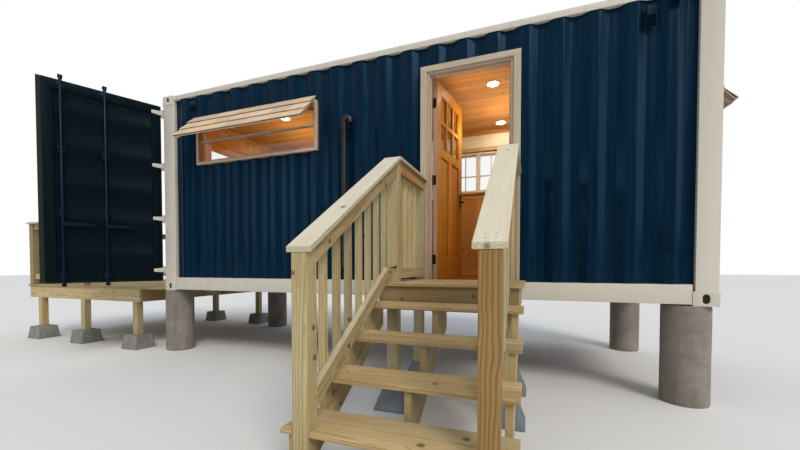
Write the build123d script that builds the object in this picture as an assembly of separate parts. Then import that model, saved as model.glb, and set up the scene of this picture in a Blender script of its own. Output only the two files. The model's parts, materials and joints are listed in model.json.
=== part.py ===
from build123d import *
import math
import os

# Shipping container cabin on round piers, with a cargo-door deck and an entrance stair.
# Working frame: X from the cargo-door end to the blind end, Y from the entrance side
# towards the rear side, Z up from the underside of the container. Millimetres.

# Container shell, a standard-height twenty foot box
container_length = 6058
container_width = 2438
container_height = 2591
casting_length = 178
casting_width = 162
casting_height = 118
casting_hole_height = 79
casting_hole_width = 51
casting_hole_depth = 60
frame_inset = 6
door_post_length = 200
blind_post_length = 160
post_width = 160
post_front_leg = 44
post_end_leg_door = 104
post_end_leg_blind = 50
rail_height = 162
rail_lift = 12
rail_web = 6
rail_flange = 48
top_rail_size = 60
top_rail_drop = 10
header_height = 108
sill_height = 128
sheet = 2
side_pitch = 282
side_flat = 73
side_first_rib = 44
side_depth = 36
side_recess = 12
end_pitch = 250
end_flat = 110
end_depth = 45
roof_pitch = 209
roof_flat = 90
roof_depth = 20

# Ground, floor and interior lining
piers_height = 827
pier_diameter = 350
pier_inset_x_blind = 170
pier_inset_x_door = 60
pier_inset_y = 170
cross_member_height = 110
cross_member_width = 45
cross_member_pitch = 405
floor_underside = 140
lining_depth = 62
ceiling_drop = 141
ceiling_thickness = 22
infill_recess = 120
infill_thickness = 90

# Entrance door in the front wall
entry_left = 3607
entry_width = 952
entry_drop = 283
entry_jamb = 90
entry_head = 78
entry_proud = 20
threshold_top = 188
leaf_thickness = 44
leaf_gap = 5
leaf_stile = 105
leaf_light_rows = 2
leaf_light_columns = 3
leaf_light_height = 260
leaf_light_width = 155
leaf_light_bar = 28
leaf_top_rail = 115
leaf_mid_rail = 90
leaf_bottom_rail = 230
leaf_panel_depth = 12
leaf_open_angle = 81
leaf_pivot_gap = 7
butt_height = 100
butt_radius = 6
butt_leaf = 3
butt_width = 32
butt_pin = 4
butt_pin_gap = 0.3
butt_end_gap = 0.25
butt_from_bottom = 200
butt_from_top = 230
lever_height = 890
lever_length = 110
lever_backset = 60
deadbolt_rise = 62
cylinder_radius = 16
escutcheon_width = 56
escutcheon_height = 190
escutcheon_rise = 12
escutcheon_thickness = 6
glass_thickness = 6

# Glazed doors behind the cargo doors
deck_door_width = 1500
deck_door_drop = 351
deck_door_jamb = 60
deck_door_stile = 95

# Windows: each has an outer frame size, and its lower left corner on its own wall
frame_face = 44
frame_proud = 20
front_window_x = 610
front_window_drop = 966
front_window_width = 1795
front_window_height = 555
front_window_bar_rise = 285
window_bar = 14
rear_window_x = 3440
rear_window_drop = 1111
rear_window_width = 850
rear_window_height = 650
rear_window_mullion = 40
end_window_y = 600
end_window_drop = 1076
end_window_width = 1238
end_window_height = 555

# Shingled awnings over the windows
awning_projection = 322
awning_drop = 352
awning_board = 22
awning_rafter_depth = 50
awning_rafter_width = 38
awning_rafter_start = 45
front_awning_x = 540
front_awning_width = 1837
front_awning_top_drop = 334
end_awning_y = 520
end_awning_width = 1398
end_awning_top_drop = 441

# Gooseneck vent pipe on the front wall
pipe_x = 2751
pipe_radius = 30
pipe_bore = 26
pipe_standoff = 14
pipe_bottom = 300
pipe_crown_drop = 705
pipe_clamp_low = 120
pipe_clamp_high = 160
pipe_bend = 38
pipe_drop = 25
pipe_clamp_height = 30
pipe_clamp_lip = 8
pipe_clamp_cover = 6

# Cargo doors at the left end
cargo_leaf_thickness = 50
cargo_leaf_bottom = 145
cargo_leaf_drop = 129
cargo_frame_width = 100
cargo_panel_recess = 18
cargo_ribs = 5
cargo_rib_height = 150
cargo_centre_gap = 12
cargo_seal_gap = 6
cargo_root_gap = 36
cargo_pin_out = 34
cargo_pin_radius = 12
cargo_pin_gap = 0.5
cargo_pin_inset = 24
cargo_open_angle = 155
cargo_hinge_stations = (0.0544, 0.3539, 0.6590, 0.9642)
cargo_hinge_height = 64
cargo_blade_length = 98
cargo_blade_tip = 40
cargo_blade_thickness = 10
cargo_rod_radius = 17
cargo_rod_reach = 60
cargo_rod_stations = (0.51, 0.86)
cargo_rod_brackets = 4
cargo_bracket_size = 70
cargo_handle_height = 800
cargo_handle_length = 300

# Timber sizes
board_thickness = 25
board_width = 140
board_gap = 6
joist = 38
joist_depth_small = 140
joist_depth_large = 184
post = 89
baluster = 38
rail_depth = 89
cap_width = 140
cap_thickness = 25
baluster_pitch = 146
deck_baluster_pitch = 118

# Entrance stair
stair_centre_x = 4056
tread_length = 1117
tread_rise = 176
tread_run = 290
landing_top = 194
tread_count = 5
newel_centre = 442
newel_front_y = -2102
landing_post_front_y = -843
stringer_depth = 286
rail_above_nosing = 894
landing_rail_lift = 28
bottom_rail_lift = 35
cap_peak_y = -826
cap_overhang = 4

# Deck at the cargo-door end
deck_left = -3000
deck_front_y = -50
deck_board_bottom = 8
deck_cross_beam_x = -440
landing_gap = 5
deck_overhang = 20
deck_rail_height = 1000
deck_rail_lift = 80
deck_baluster = 20
deck_rail_run = 1364
deck_post_far_x = -2790
deck_post_middle_x = -1725
deck_post_near_x = -585
deck_joist_pitch = 560
short_joists = 5
block_height = 190
block_top = 250
block_bottom = 300
stair_block_height = 200
stair_block_top = 130
stair_block_bottom = 270

ground = -piers_height
ceiling_height = container_height - ceiling_drop
entry_top = container_height - entry_drop
front_window_z = container_height - front_window_drop
rear_window_z = container_height - rear_window_drop
end_window_z = container_height - end_window_drop
front_awning_top = container_height - front_awning_top_drop
end_awning_top = container_height - end_awning_top_drop
pipe_crown = container_height - pipe_crown_drop
cargo_leaf_top = container_height - cargo_leaf_drop
cargo_hinge_heights = [cargo_leaf_bottom + station * (cargo_leaf_top - cargo_leaf_bottom)
                       for station in cargo_hinge_stations]
deck_door_top = container_height - deck_door_drop
deck_door_left = (container_width - deck_door_width) / 2
deck_post_columns = (deck_post_far_x, deck_post_middle_x, deck_post_near_x)
front_skin = side_recess
front_inner = side_recess + side_depth + sheet
rear_skin = container_width - side_recess
room_front = front_inner + lining_depth - sheet
room_rear = container_width - room_front
blind_skin = container_length - side_recess
room_right = blind_skin - end_depth - sheet - lining_depth
wall_back = room_right + lining_depth
infill_outer = infill_recess
wall_x0 = door_post_length
wall_x1 = container_length - blind_post_length
room_left = infill_recess + infill_thickness
rail_top = rail_lift + rail_height
floor_top = rail_top
top_rail_under = container_height - top_rail_drop - top_rail_size
entry_right = entry_left + entry_width
leaf_left = entry_left + entry_jamb + leaf_gap
leaf_right = entry_right - entry_jamb - leaf_gap
leaf_width = leaf_right - leaf_left
leaf_top = entry_top - entry_head - leaf_gap
leaf_bottom = threshold_top + leaf_gap
leaf_height = leaf_top - leaf_bottom
slope = math.atan2(tread_rise, tread_run)


def block(x0, x1, y0, y1, z0, z1):
    """Box between two corners."""
    size = Box(x1 - x0, y1 - y0, z1 - z0, align=(Align.MIN, Align.MIN, Align.MIN))
    return Pos(x0, y0, z0) * size


def to_rear(shape):
    """Mirror a front-side shape to the rear side."""
    return Pos(0, container_width, 0) * mirror(shape, Plane.XZ)


def fused(solids):
    """One shape from several that meet."""
    shape = solids[0]
    for other in solids[1:]:
        shape = shape + other
    return shape


def apart(solids):
    """Several solids of one node that stay separate."""
    return Compound(children=[s for shape in solids for s in shape.solids()])


def prism_x(points, x0, x1):
    """Extrude a Y-Z outline along X."""
    wire = Polyline([(x0, y, z) for y, z in points], close=True)
    return extrude(make_face(wire), amount=x1 - x0, dir=(1, 0, 0))


def prism_y(points, y0, y1):
    """Extrude an X-Z outline along Y."""
    wire = Polyline([(x, y0, z) for x, z in points], close=True)
    return extrude(make_face(wire), amount=y1 - y0, dir=(0, 1, 0))


def prism_z(points, z0, z1):
    """Extrude an X-Y outline along Z."""
    wire = Polyline([(x, y, z0) for x, y in points], close=True)
    return extrude(make_face(wire), amount=z1 - z0, dir=(0, 0, 1))


def ribs(start, stop, origin, pitch, flat, depth):
    """Corners of a trapezoid corrugation between start and stop, at depth 0 or depth."""
    ramp = (pitch - 2 * flat) / 2
    pattern = [(0, 0), (flat, 0), (flat + ramp, depth), (2 * flat + ramp, depth)]
    first = math.floor((start - origin) / pitch) - 1
    last = math.ceil((stop - origin) / pitch) + 1
    corners = [(origin + n * pitch + u, v) for n in range(first, last) for u, v in pattern]

    def level(u):
        for (u0, v0), (u1, v1) in zip(corners, corners[1:]):
            if u0 <= u <= u1:
                return v0 + (v1 - v0) * (u - u0) / (u1 - u0)

    inside = [(u, v) for u, v in corners if start < u < stop]
    return [(start, level(start))] + inside + [(stop, level(stop))]


def corrugated_side(x0, x1, z0, z1, rear=False):
    """Corrugated side sheet, outer flats at the front or rear skin."""
    line = ribs(x0, x1, side_first_rib, side_pitch, side_flat, side_depth)
    outer = [(u, front_skin + v) for u, v in line]
    inner = [(u, front_skin + v + sheet) for u, v in reversed(line)]
    if rear:
        outer = [(u, container_width - v) for u, v in outer]
        inner = [(u, container_width - v) for u, v in inner]
    return prism_z(outer + inner, z0, z1)


def corrugated_end(y0, y1, z0, z1):
    """Corrugated blind end sheet, outer flats at the blind skin."""
    line = ribs(y0, y1, post_width, end_pitch, end_flat, end_depth)
    outer = [(blind_skin - v, u) for u, v in line]
    inner = [(blind_skin - v - sheet, u) for u, v in reversed(line)]
    return prism_z(outer + inner, z0, z1)


def corrugated_roof(x0, x1, y0, y1, top):
    """Roof sheet with ribs across the container."""
    line = ribs(x0, x1, x0, roof_pitch, roof_flat, roof_depth)
    upper = [(u, top - v) for u, v in line]
    lower = [(u, top - v - sheet) for u, v in reversed(line)]
    return prism_y(upper + lower, y0, y1)


def slot_cutter(height, width, depth):
    """Upright oval cutter along Y."""
    round_end = Cylinder(width / 2, depth, rotation=(90, 0, 0))
    reach = (height - width) / 2
    middle = Box(width, depth, 2 * reach)
    return fused([middle, Pos(0, 0, reach) * round_end, Pos(0, 0, -reach) * round_end])


def casting(x_end, y_side, z_base):
    """Corner casting with its oval holes; x_end and y_side are 0 or 1."""
    x0 = x_end * (container_length - casting_length)
    y0 = y_side * (container_width - casting_width)
    solid = block(x0, x0 + casting_length, y0, y0 + casting_width, z_base, z_base + casting_height)
    hole = slot_cutter(casting_hole_height, casting_hole_width, 2 * casting_hole_depth)
    side = Pos(x_end * container_length + (1 - 2 * x_end) * casting_length / 2,
               y_side * container_width, z_base + casting_height / 2) * hole
    end = Pos(x_end * container_length, y_side * container_width + (1 - 2 * y_side) * casting_width / 2,
              z_base + casting_height / 2) * (Rot(0, 0, 90) * hole)
    return solid - side - end


def end_frame(x_end):
    """Posts, castings, sill and header of one end."""
    inner = door_post_length if x_end == 0 else blind_post_length
    leg = post_end_leg_door if x_end == 0 else post_end_leg_blind
    x_out = frame_inset if x_end == 0 else container_length - frame_inset
    way = 1 - 2 * x_end
    front_x = sorted((x_out, x_out + way * (inner - frame_inset)))
    end_x = sorted((x_out, x_out + way * leg))
    front_leg = block(*front_x, frame_inset, frame_inset + post_front_leg, casting_height, top_rail_under)
    end_leg = block(*end_x, frame_inset, post_width, casting_height, container_height - casting_height)
    folded = front_leg + end_leg
    pieces = [folded, to_rear(folded)]
    for y_side in (0, 1):
        for z_base in (0, container_height - casting_height):
            pieces.append(casting(x_end, y_side, z_base))
    beam_x0, beam_x1 = sorted((x_end * container_length + (1 - 2 * x_end) * frame_inset,
                               x_end * container_length + (1 - 2 * x_end) * (frame_inset + top_rail_size)))
    pieces.append(block(beam_x0, beam_x1, casting_width, container_width - casting_width,
                        rail_lift, rail_lift + sill_height))
    pieces.append(block(beam_x0, beam_x1, casting_width, container_width - casting_width,
                        container_height - top_rail_drop - header_height, container_height - top_rail_drop))
    return fused(pieces)


def bottom_rail(rear=False):
    """Channel side rail between the bottom castings and the posts."""
    x0, x1 = casting_length, container_length - casting_length
    web = block(x0, x1, frame_inset, frame_inset + rail_web, rail_lift, rail_top)
    low = block(x0, x1, frame_inset, frame_inset + rail_flange, rail_lift, rail_lift + rail_web)
    high = block(x0, x1, frame_inset, frame_inset + rail_flange, rail_top - rail_web, rail_top)
    post_foot = block(0, door_post_length, 0, post_width, casting_height, container_height)
    rail = fused([web, low, high]) - post_foot
    return to_rear(rail) if rear else rail


def top_rail(rear=False):
    """Square tube side rail between the top castings."""
    y0 = frame_inset if not rear else container_width - frame_inset - top_rail_size
    y1 = y0 + top_rail_size
    return block(casting_length, container_length - casting_length, y0, y1,
                 top_rail_under, container_height - top_rail_drop)


def top_casting_space():
    """Room taken by the two upper castings of the blind end."""
    x0 = container_length - casting_length
    z0 = container_height - casting_height
    near = block(x0, container_length, 0, casting_width, z0, container_height)
    return near + to_rear(near)


def window_ring(width, height, depth):
    """Rectangular frame in the X-Z plane, lower left outer corner at the origin, front at Y 0."""
    outer = block(0, width, 0, depth, 0, height)
    inner = block(frame_face, width - frame_face, -1, depth + 1, frame_face, height - frame_face)
    return outer - inner


def front_window_hole():
    return block(front_window_x, front_window_x + front_window_width, -100, room_front + 100,
                 front_window_z, front_window_z + front_window_height)


def rear_window_hole():
    return block(rear_window_x, rear_window_x + rear_window_width, room_rear - 100, container_width + 100,
                 rear_window_z, rear_window_z + rear_window_height)


def end_window_hole():
    return block(room_right - 100, container_length + 100, end_window_y, end_window_y + end_window_width,
                 end_window_z, end_window_z + end_window_height)


def front_wall_left():
    return corrugated_side(wall_x0, entry_left, rail_top, top_rail_under) - front_window_hole()


def front_wall_over_door():
    return corrugated_side(entry_left, entry_right, entry_top, top_rail_under)


def front_wall_right():
    return corrugated_side(entry_right, wall_x1, rail_top, top_rail_under) - top_casting_space()


def rear_wall():
    skin = corrugated_side(wall_x0, wall_x1, rail_top, top_rail_under, rear=True)
    return skin - rear_window_hole() - top_casting_space()


def blind_end_wall():
    top = container_height - top_rail_drop - header_height
    sheet_wall = corrugated_end(post_width, container_width - post_width, rail_lift + sill_height, top)
    return sheet_wall - end_window_hole()


def roof_panel():
    inset = frame_inset + top_rail_size
    panel = corrugated_roof(inset, container_length - inset, inset, container_width - inset,
                            container_height - top_rail_drop)
    for x in (0, container_length - casting_length):
        corner = block(x, x + casting_length, 0, casting_width, 0, container_height)
        panel = panel - corner - to_rear(corner)
    return panel


def floor_deck():
    y0 = frame_inset + rail_flange
    return block(infill_recess, wall_back, y0, container_width - y0, floor_underside, floor_top)


def cross_members():
    y0 = frame_inset + rail_web
    y1 = container_width - y0
    x = casting_length + cross_member_pitch / 2
    members = []
    while x < container_length - casting_length - cross_member_width:
        members.append(block(x, x + cross_member_width, y0, y1,
                             floor_underside - cross_member_height, floor_underside))
        x += cross_member_pitch
    return apart(members)


def lining_front_left():
    slab = block(room_left, entry_left, front_inner, room_front, floor_top, ceiling_height)
    return slab - front_window_hole()


def lining_over_door():
    return block(entry_left, entry_right, front_inner, room_front, entry_top, ceiling_height)


def lining_front_right():
    return block(entry_right, room_right, front_inner, room_front, floor_top, ceiling_height)


def lining_rear():
    slab = block(room_left, room_right, room_rear, container_width - front_inner, floor_top, ceiling_height)
    return slab - rear_window_hole()


def lining_right():
    slab = block(room_right, wall_back, front_inner, container_width - front_inner,
                 floor_top, ceiling_height)
    return slab - end_window_hole()


def ceiling():
    return block(room_left, wall_back, front_inner, container_width - front_inner,
                 ceiling_height, ceiling_height + ceiling_thickness)


def infill_wall():
    """Framed wall behind the cargo doors, cut for the glazed deck doors."""
    slab = block(infill_outer, room_left, front_inner, container_width - front_inner,
                 floor_top, ceiling_height + ceiling_thickness)
    hole = block(infill_outer - 100, room_left + 100, deck_door_left, deck_door_left + deck_door_width,
                 floor_top - 100, deck_door_top)
    return slab - hole


def deck_doors():
    """Fixed pair of glazed doors in the infill wall."""
    x0, x1 = infill_outer, room_left
    y0, y1 = deck_door_left, deck_door_left + deck_door_width
    frame = block(x0, x1, y0, y1, floor_top, deck_door_top)
    frame -= block(x0 - 1, x1 + 1, y0 + deck_door_jamb, y1 - deck_door_jamb,
                   floor_top + deck_door_jamb / 2, deck_door_top - deck_door_jamb)
    middle = (y0 + y1) / 2
    leaves = []
    for a, b in ((y0 + deck_door_jamb, middle), (middle, y1 - deck_door_jamb)):
        leaf = block(x0 + 20, x0 + 20 + leaf_thickness, a, b,
                     floor_top + deck_door_jamb / 2, deck_door_top - deck_door_jamb)
        leaf -= block(x0, x1, a + deck_door_stile, b - deck_door_stile,
                      floor_top + leaf_bottom_rail, deck_door_top - deck_door_jamb - leaf_top_rail)
        leaves.append(leaf)
    return fused([frame] + leaves)


def entry_frame():
    """Jambs, head and threshold of the entrance."""
    y0 = -entry_proud
    y1 = room_front
    left = block(entry_left, entry_left + entry_jamb, y0, y1, rail_top, entry_top)
    right = block(entry_right - entry_jamb, entry_right, y0, y1, rail_top, entry_top)
    head = block(entry_left, entry_right, y0, y1, entry_top - entry_head, entry_top)
    sill = block(entry_left, entry_right, y0, y1, rail_top, threshold_top)
    stop_y = room_front - leaf_thickness - leaf_gap
    stops = [
        block(entry_left + entry_jamb, entry_left + entry_jamb + 12, stop_y - 30, stop_y,
              threshold_top, entry_top - entry_head),
        block(entry_right - entry_jamb - 12, entry_right - entry_jamb, stop_y - 30, stop_y,
              threshold_top, entry_top - entry_head),
        block(entry_left + entry_jamb, entry_right - entry_jamb, stop_y - 30, stop_y,
              entry_top - entry_head - 12, entry_top - entry_head),
    ]
    return fused([left, right, head, sill] + stops)


# The entrance leaf is drawn closed, then turned about its hinge pins into the room.
entry_pivot_x = leaf_left - leaf_gap / 2
entry_pivot_y = room_front + leaf_pivot_gap


def opened(shape):
    """Turn a shape drawn with the closed leaf to the leaf's open rest position."""
    pivot = Pos(entry_pivot_x, entry_pivot_y, 0)
    return pivot * Rot(0, 0, leaf_open_angle) * pivot.inverse() * shape


def leaf_lights():
    """Lower left corners of the panes in the entrance leaf."""
    span = leaf_width - 2 * leaf_stile + leaf_light_bar
    step_x = span / leaf_light_columns
    step_z = leaf_light_height + leaf_light_bar
    base = leaf_top - leaf_top_rail - leaf_light_rows * step_z + leaf_light_bar
    for column in range(leaf_light_columns):
        for row in range(leaf_light_rows):
            yield leaf_left + leaf_stile + column * step_x, base + row * step_z, step_x - leaf_light_bar


def entry_leaf():
    y1 = room_front
    y0 = room_front - leaf_thickness
    leaf = block(leaf_left, leaf_right, y0, y1, leaf_bottom, leaf_top)
    light_base = leaf_top - leaf_top_rail
    for x, z, width in leaf_lights():
        leaf -= block(x, x + width, y0 - 1, y1 + 1, z, z + leaf_light_height)
        light_base = min(light_base, z)
    panel_top = light_base - leaf_mid_rail
    panel_bottom = leaf_bottom + leaf_bottom_rail
    panel_width = (leaf_width - 2 * leaf_stile - leaf_mid_rail) / 2
    for side in (0, 1):
        x = leaf_left + leaf_stile + side * (panel_width + leaf_mid_rail)
        for face in (y0 - 1, y1 - leaf_panel_depth):
            leaf -= block(x, x + panel_width, face, face + leaf_panel_depth + 1, panel_bottom, panel_top)
    return opened(leaf)


def entry_glass():
    y = room_front - leaf_thickness / 2 - glass_thickness / 2
    panes = [block(x, x + width, y, y + glass_thickness, z, z + leaf_light_height)
             for x, z, width in leaf_lights()]
    return opened(apart(panes))


def butt_heights():
    return (leaf_bottom + butt_from_bottom, (leaf_bottom + leaf_top) / 2, leaf_top - butt_from_top)


def hinge_thirds(z):
    """Bottom, middle and top knuckle spans of a butt hinge centred at z."""
    third = butt_height / 3
    base = z - butt_height / 2
    return [(base + n * third + butt_end_gap, base + (n + 1) * third - butt_end_gap) for n in range(3)]


def knuckle(z0, z1, way):
    """Knuckle at the hinge pin with its flap towards -X or +X."""
    barrel = Pos(entry_pivot_x, entry_pivot_y, z0)
    barrel = barrel * Cylinder(butt_radius, z1 - z0, align=(Align.CENTER, Align.CENTER, Align.MIN))
    x0, x1 = sorted((entry_pivot_x, entry_pivot_x + way * (butt_radius + 2)))
    return barrel + block(x0, x1, room_front, room_front + butt_leaf, z0, z1)


def butt_plate(z, way):
    """Flat plate of the hinge beside the knuckles, on the jamb or on the leaf."""
    x0, x1 = sorted((entry_pivot_x + way * (butt_radius + 2), entry_pivot_x + way * butt_width))
    return block(x0, x1, room_front, room_front + butt_leaf, z - butt_height / 2, z + butt_height / 2)


def entry_hinges():
    """Fixed halves of the three butt hinges with their pins."""
    pieces = []
    for z in butt_heights():
        low, middle, high = hinge_thirds(z)
        pin = Pos(entry_pivot_x, entry_pivot_y, z) * Cylinder(butt_pin, butt_height)
        pieces.append(fused([pin, butt_plate(z, -1), knuckle(*low, -1), knuckle(*high, -1)]))
    return apart(pieces)


def entry_hinge_leaves():
    """Moving halves of the three butt hinges, on the leaf."""
    pieces = []
    for z in butt_heights():
        low, middle, high = hinge_thirds(z)
        bore = Pos(entry_pivot_x, entry_pivot_y, z) * Cylinder(butt_pin + butt_pin_gap, butt_height)
        pieces.append(fused([butt_plate(z, 1), knuckle(*middle, 1)]) - bore)
    return opened(apart(pieces))


def entry_handle():
    """Oval plate with lever and lock cylinder on both faces of the leaf."""
    pieces = []
    x = leaf_right - lever_backset
    middle = leaf_bottom + lever_height + escutcheon_rise
    for face, way in ((room_front, 1), (room_front - leaf_thickness, -1)):
        seat = Plane((x, face, middle), x_dir=(1, 0, 0), z_dir=(0, way, 0))
        plate = extrude(seat * Ellipse(escutcheon_width / 2, escutcheon_height / 2), amount=escutcheon_thickness)
        neck = Pos(x, face + way * 25, leaf_bottom + lever_height) * Cylinder(9, 40, rotation=(90, 0, 0))
        y0, y1 = sorted((face + way * 36, face + way * 50))
        lever = block(x - lever_length, x + 10, y0, y1,
                      leaf_bottom + lever_height - 9, leaf_bottom + lever_height + 9)
        lock = Pos(x, face + way * 8, leaf_bottom + lever_height + deadbolt_rise)
        lock = lock * Cylinder(cylinder_radius, 16, rotation=(90, 0, 0))
        pieces.append(fused([plate, neck, lever, lock]))
    return opened(apart(pieces))


def front_window_frame():
    ring = window_ring(front_window_width, front_window_height, frame_proud + room_front)
    bar = block(frame_face, front_window_width - frame_face, frame_proud, frame_proud + 2 * window_bar,
                front_window_bar_rise, front_window_bar_rise + window_bar)
    return Pos(front_window_x, -frame_proud, front_window_z) * (ring + bar)


def rear_window_frame():
    depth = container_width - room_rear + frame_proud
    ring = window_ring(rear_window_width, rear_window_height, depth)
    middle = rear_window_width / 2
    mullion = block(middle - rear_window_mullion / 2, middle + rear_window_mullion / 2, 0, depth,
                    frame_face, rear_window_height - frame_face)
    return Pos(rear_window_x, room_rear, rear_window_z) * (ring + mullion)


def end_window_frame():
    depth = container_length + frame_proud - room_right
    ring = window_ring(end_window_width, end_window_height, depth)
    turned = Rot(0, 0, 90) * ring
    return Pos(container_length + frame_proud, end_window_y, end_window_z) * turned


def window_glass():
    panes = []
    y = (frame_proud + room_front) / 3
    bar_z = front_window_z + front_window_bar_rise
    left = front_window_x + frame_face
    right = front_window_x + front_window_width - frame_face
    back = frame_proud + 2 * window_bar - frame_proud
    panes.append(block(left, right, back, back + glass_thickness,
                       front_window_z + frame_face, front_window_z + front_window_height - frame_face))
    middle = rear_window_x + rear_window_width / 2
    y = container_width - 40
    for a, b in ((rear_window_x + frame_face, middle - rear_window_mullion / 2),
                 (middle + rear_window_mullion / 2, rear_window_x + rear_window_width - frame_face)):
        panes.append(block(a, b, y, y + glass_thickness, rear_window_z + frame_face,
                           rear_window_z + rear_window_height - frame_face))
    x = container_length - 40
    panes.append(block(x, x + glass_thickness, end_window_y + frame_face,
                       end_window_y + end_window_width - frame_face, end_window_z + frame_face,
                       end_window_z + end_window_height - frame_face))
    middle = container_width / 2
    x = infill_outer + 20 + leaf_thickness / 2 - glass_thickness / 2
    for a, b in ((deck_door_left + deck_door_jamb, middle),
                 (middle, deck_door_left + deck_door_width - deck_door_jamb)):
        panes.append(block(x, x + glass_thickness, a + deck_door_stile, b - deck_door_stile,
                           floor_top + leaf_bottom_rail, deck_door_top - deck_door_jamb - leaf_top_rail))
    return apart(panes)


def awning(width, top):
    """Sloped board on rafters, from the wall plane at Y 0 outwards to -Y, X from 0 to width."""
    fall = awning_drop / awning_projection
    rise = awning_board * math.sqrt(1 + fall * fall)
    board = [(0, top), (-awning_projection, top - awning_drop),
             (-awning_projection, top - awning_drop - rise), (0, top - rise)]
    deep = rise + awning_rafter_depth * math.sqrt(1 + fall * fall)
    foot = awning_projection - 25
    near = awning_rafter_start
    rafter = [(-near, top - rise - near * fall), (-foot, top - rise - foot * fall),
              (-foot, top - rise - foot * fall - awning_rafter_depth), (-near, top - deep - near * fall)]
    pieces = [prism_x(board, 0, width)]
    for x in (60, width / 2 - awning_rafter_width / 2, width - 60 - awning_rafter_width):
        pieces.append(prism_x(rafter, x, x + awning_rafter_width))
    return fused(pieces)


def front_awning():
    return Pos(front_awning_x, front_skin, 0) * awning(front_awning_width, front_awning_top)


def end_awning():
    turned = Rot(0, 0, 90) * awning(end_awning_width, end_awning_top)
    return Pos(blind_skin, end_awning_y, 0) * turned


def vent_pipe():
    """Gooseneck pipe held by two clamps, whose backs follow the corrugation of the front wall."""
    y = front_skin - pipe_standoff - pipe_radius
    straight = Pos(pipe_x, y, pipe_bottom) * Cylinder(pipe_radius, pipe_crown - pipe_bottom,
                                                     align=(Align.CENTER, Align.CENTER, Align.MIN))
    turn = Pos(pipe_x + pipe_bend, y, pipe_crown) * Torus(pipe_bend, pipe_radius, rotation=(90, 0, 0))
    reach = 2 * (pipe_bend + pipe_radius)
    upper = block(pipe_x - reach, pipe_x + 2 * reach, y - reach, y + reach, pipe_crown, pipe_crown + reach)
    turn = turn & upper
    drop = Pos(pipe_x + 2 * pipe_bend, y, pipe_crown - pipe_drop)
    drop = drop * Cylinder(pipe_radius, pipe_drop, align=(Align.CENTER, Align.CENTER, Align.MIN))
    mouth = Pos(pipe_x + 2 * pipe_bend, y, pipe_crown - pipe_drop)
    mouth = mouth * Cylinder(pipe_bore, pipe_drop, align=(Align.CENTER, Align.CENTER, Align.MIN))
    half = pipe_radius + pipe_clamp_lip
    line = ribs(pipe_x - half, pipe_x + half, side_first_rib, side_pitch, side_flat, side_depth)
    seat = [(pipe_x - half, y - pipe_clamp_cover)] + [(u, front_skin + v) for u, v in line]
    seat.append((pipe_x + half, y - pipe_clamp_cover))
    clamps = [prism_z(seat, z, z + pipe_clamp_height)
              for z in (pipe_bottom + pipe_clamp_low, pipe_crown - pipe_clamp_high)]
    return fused([straight, turn, drop - mouth] + clamps)


# The cargo leaves are drawn closed and swung about their pins.
cargo_pin_x = -cargo_pin_out
cargo_pin_y = cargo_pin_inset
leaf_root = cargo_pin_inset + cargo_root_gap
leaf_tip = container_width / 2 - cargo_centre_gap / 2
cargo_face = frame_inset - cargo_seal_gap
cargo_width = leaf_tip - leaf_root


def swung(shape):
    """Turn a shape drawn with the closed front leaf to its open rest position."""
    pivot = Pos(cargo_pin_x, cargo_pin_y, 0)
    return pivot * Rot(0, 0, cargo_open_angle) * pivot.inverse() * shape


def cargo_leaf():
    """Pressed steel leaf, closed: border frame, recessed panel and shallow ribs."""
    x0 = cargo_face - cargo_leaf_thickness
    x1 = cargo_face
    leaf = block(x0, x1, leaf_root, leaf_tip, cargo_leaf_bottom, cargo_leaf_top)
    inner_y0 = leaf_root + cargo_frame_width
    inner_y1 = leaf_tip - cargo_frame_width
    inner_z0 = cargo_leaf_bottom + cargo_frame_width
    inner_z1 = cargo_leaf_top - cargo_frame_width
    leaf -= block(x0 - 1, x0 + cargo_panel_recess, inner_y0, inner_y1, inner_z0, inner_z1)
    step = (inner_z1 - inner_z0) / cargo_ribs
    for n in range(cargo_ribs):
        z = inner_z0 + (n + 0.5) * step
        rib = [(x0 + cargo_panel_recess, z - cargo_rib_height / 2), (x0 + 4, z - cargo_rib_height / 3),
               (x0 + 4, z + cargo_rib_height / 3), (x0 + cargo_panel_recess, z + cargo_rib_height / 2)]
        leaf += prism_y(rib, inner_y0, inner_y1)
    return leaf


def cargo_hardware():
    """Lock rods with brackets and cams, and the hinge blades on the outer face, closed."""
    x0 = cargo_face - cargo_leaf_thickness
    rod_x = x0 - cargo_rod_radius - 6
    pieces = []
    for station in cargo_rod_stations:
        y = leaf_root + station * cargo_width
        rod = Pos(rod_x, y, cargo_leaf_bottom - cargo_rod_reach)
        length = cargo_leaf_top - cargo_leaf_bottom + 2 * cargo_rod_reach
        rod = rod * Cylinder(cargo_rod_radius, length, align=(Align.CENTER, Align.CENTER, Align.MIN))
        parts = [rod]
        step = (cargo_leaf_top - cargo_leaf_bottom - 2 * cargo_bracket_size) / (cargo_rod_brackets - 1)
        for n in range(cargo_rod_brackets):
            z = cargo_leaf_bottom + cargo_bracket_size + n * step
            parts.append(block(rod_x - cargo_rod_radius + 4, x0, y - cargo_bracket_size / 2,
                               y + cargo_bracket_size / 2, z - cargo_bracket_size / 2,
                               z + cargo_bracket_size / 2))
        for z in (cargo_leaf_bottom - cargo_rod_reach, cargo_leaf_top + cargo_rod_reach - 30):
            parts.append(block(rod_x - 12, rod_x + 34, y - 22, y + 22, z, z + 30))
        parts.append(block(rod_x - cargo_rod_radius - 8, rod_x - cargo_rod_radius + 4,
                           y - cargo_handle_length, y + 15, cargo_handle_height, cargo_handle_height + 34))
        pieces.append(fused(parts))
    pieces += [cargo_blade(z) for z in cargo_hinge_heights]
    return apart(pieces)


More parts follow.
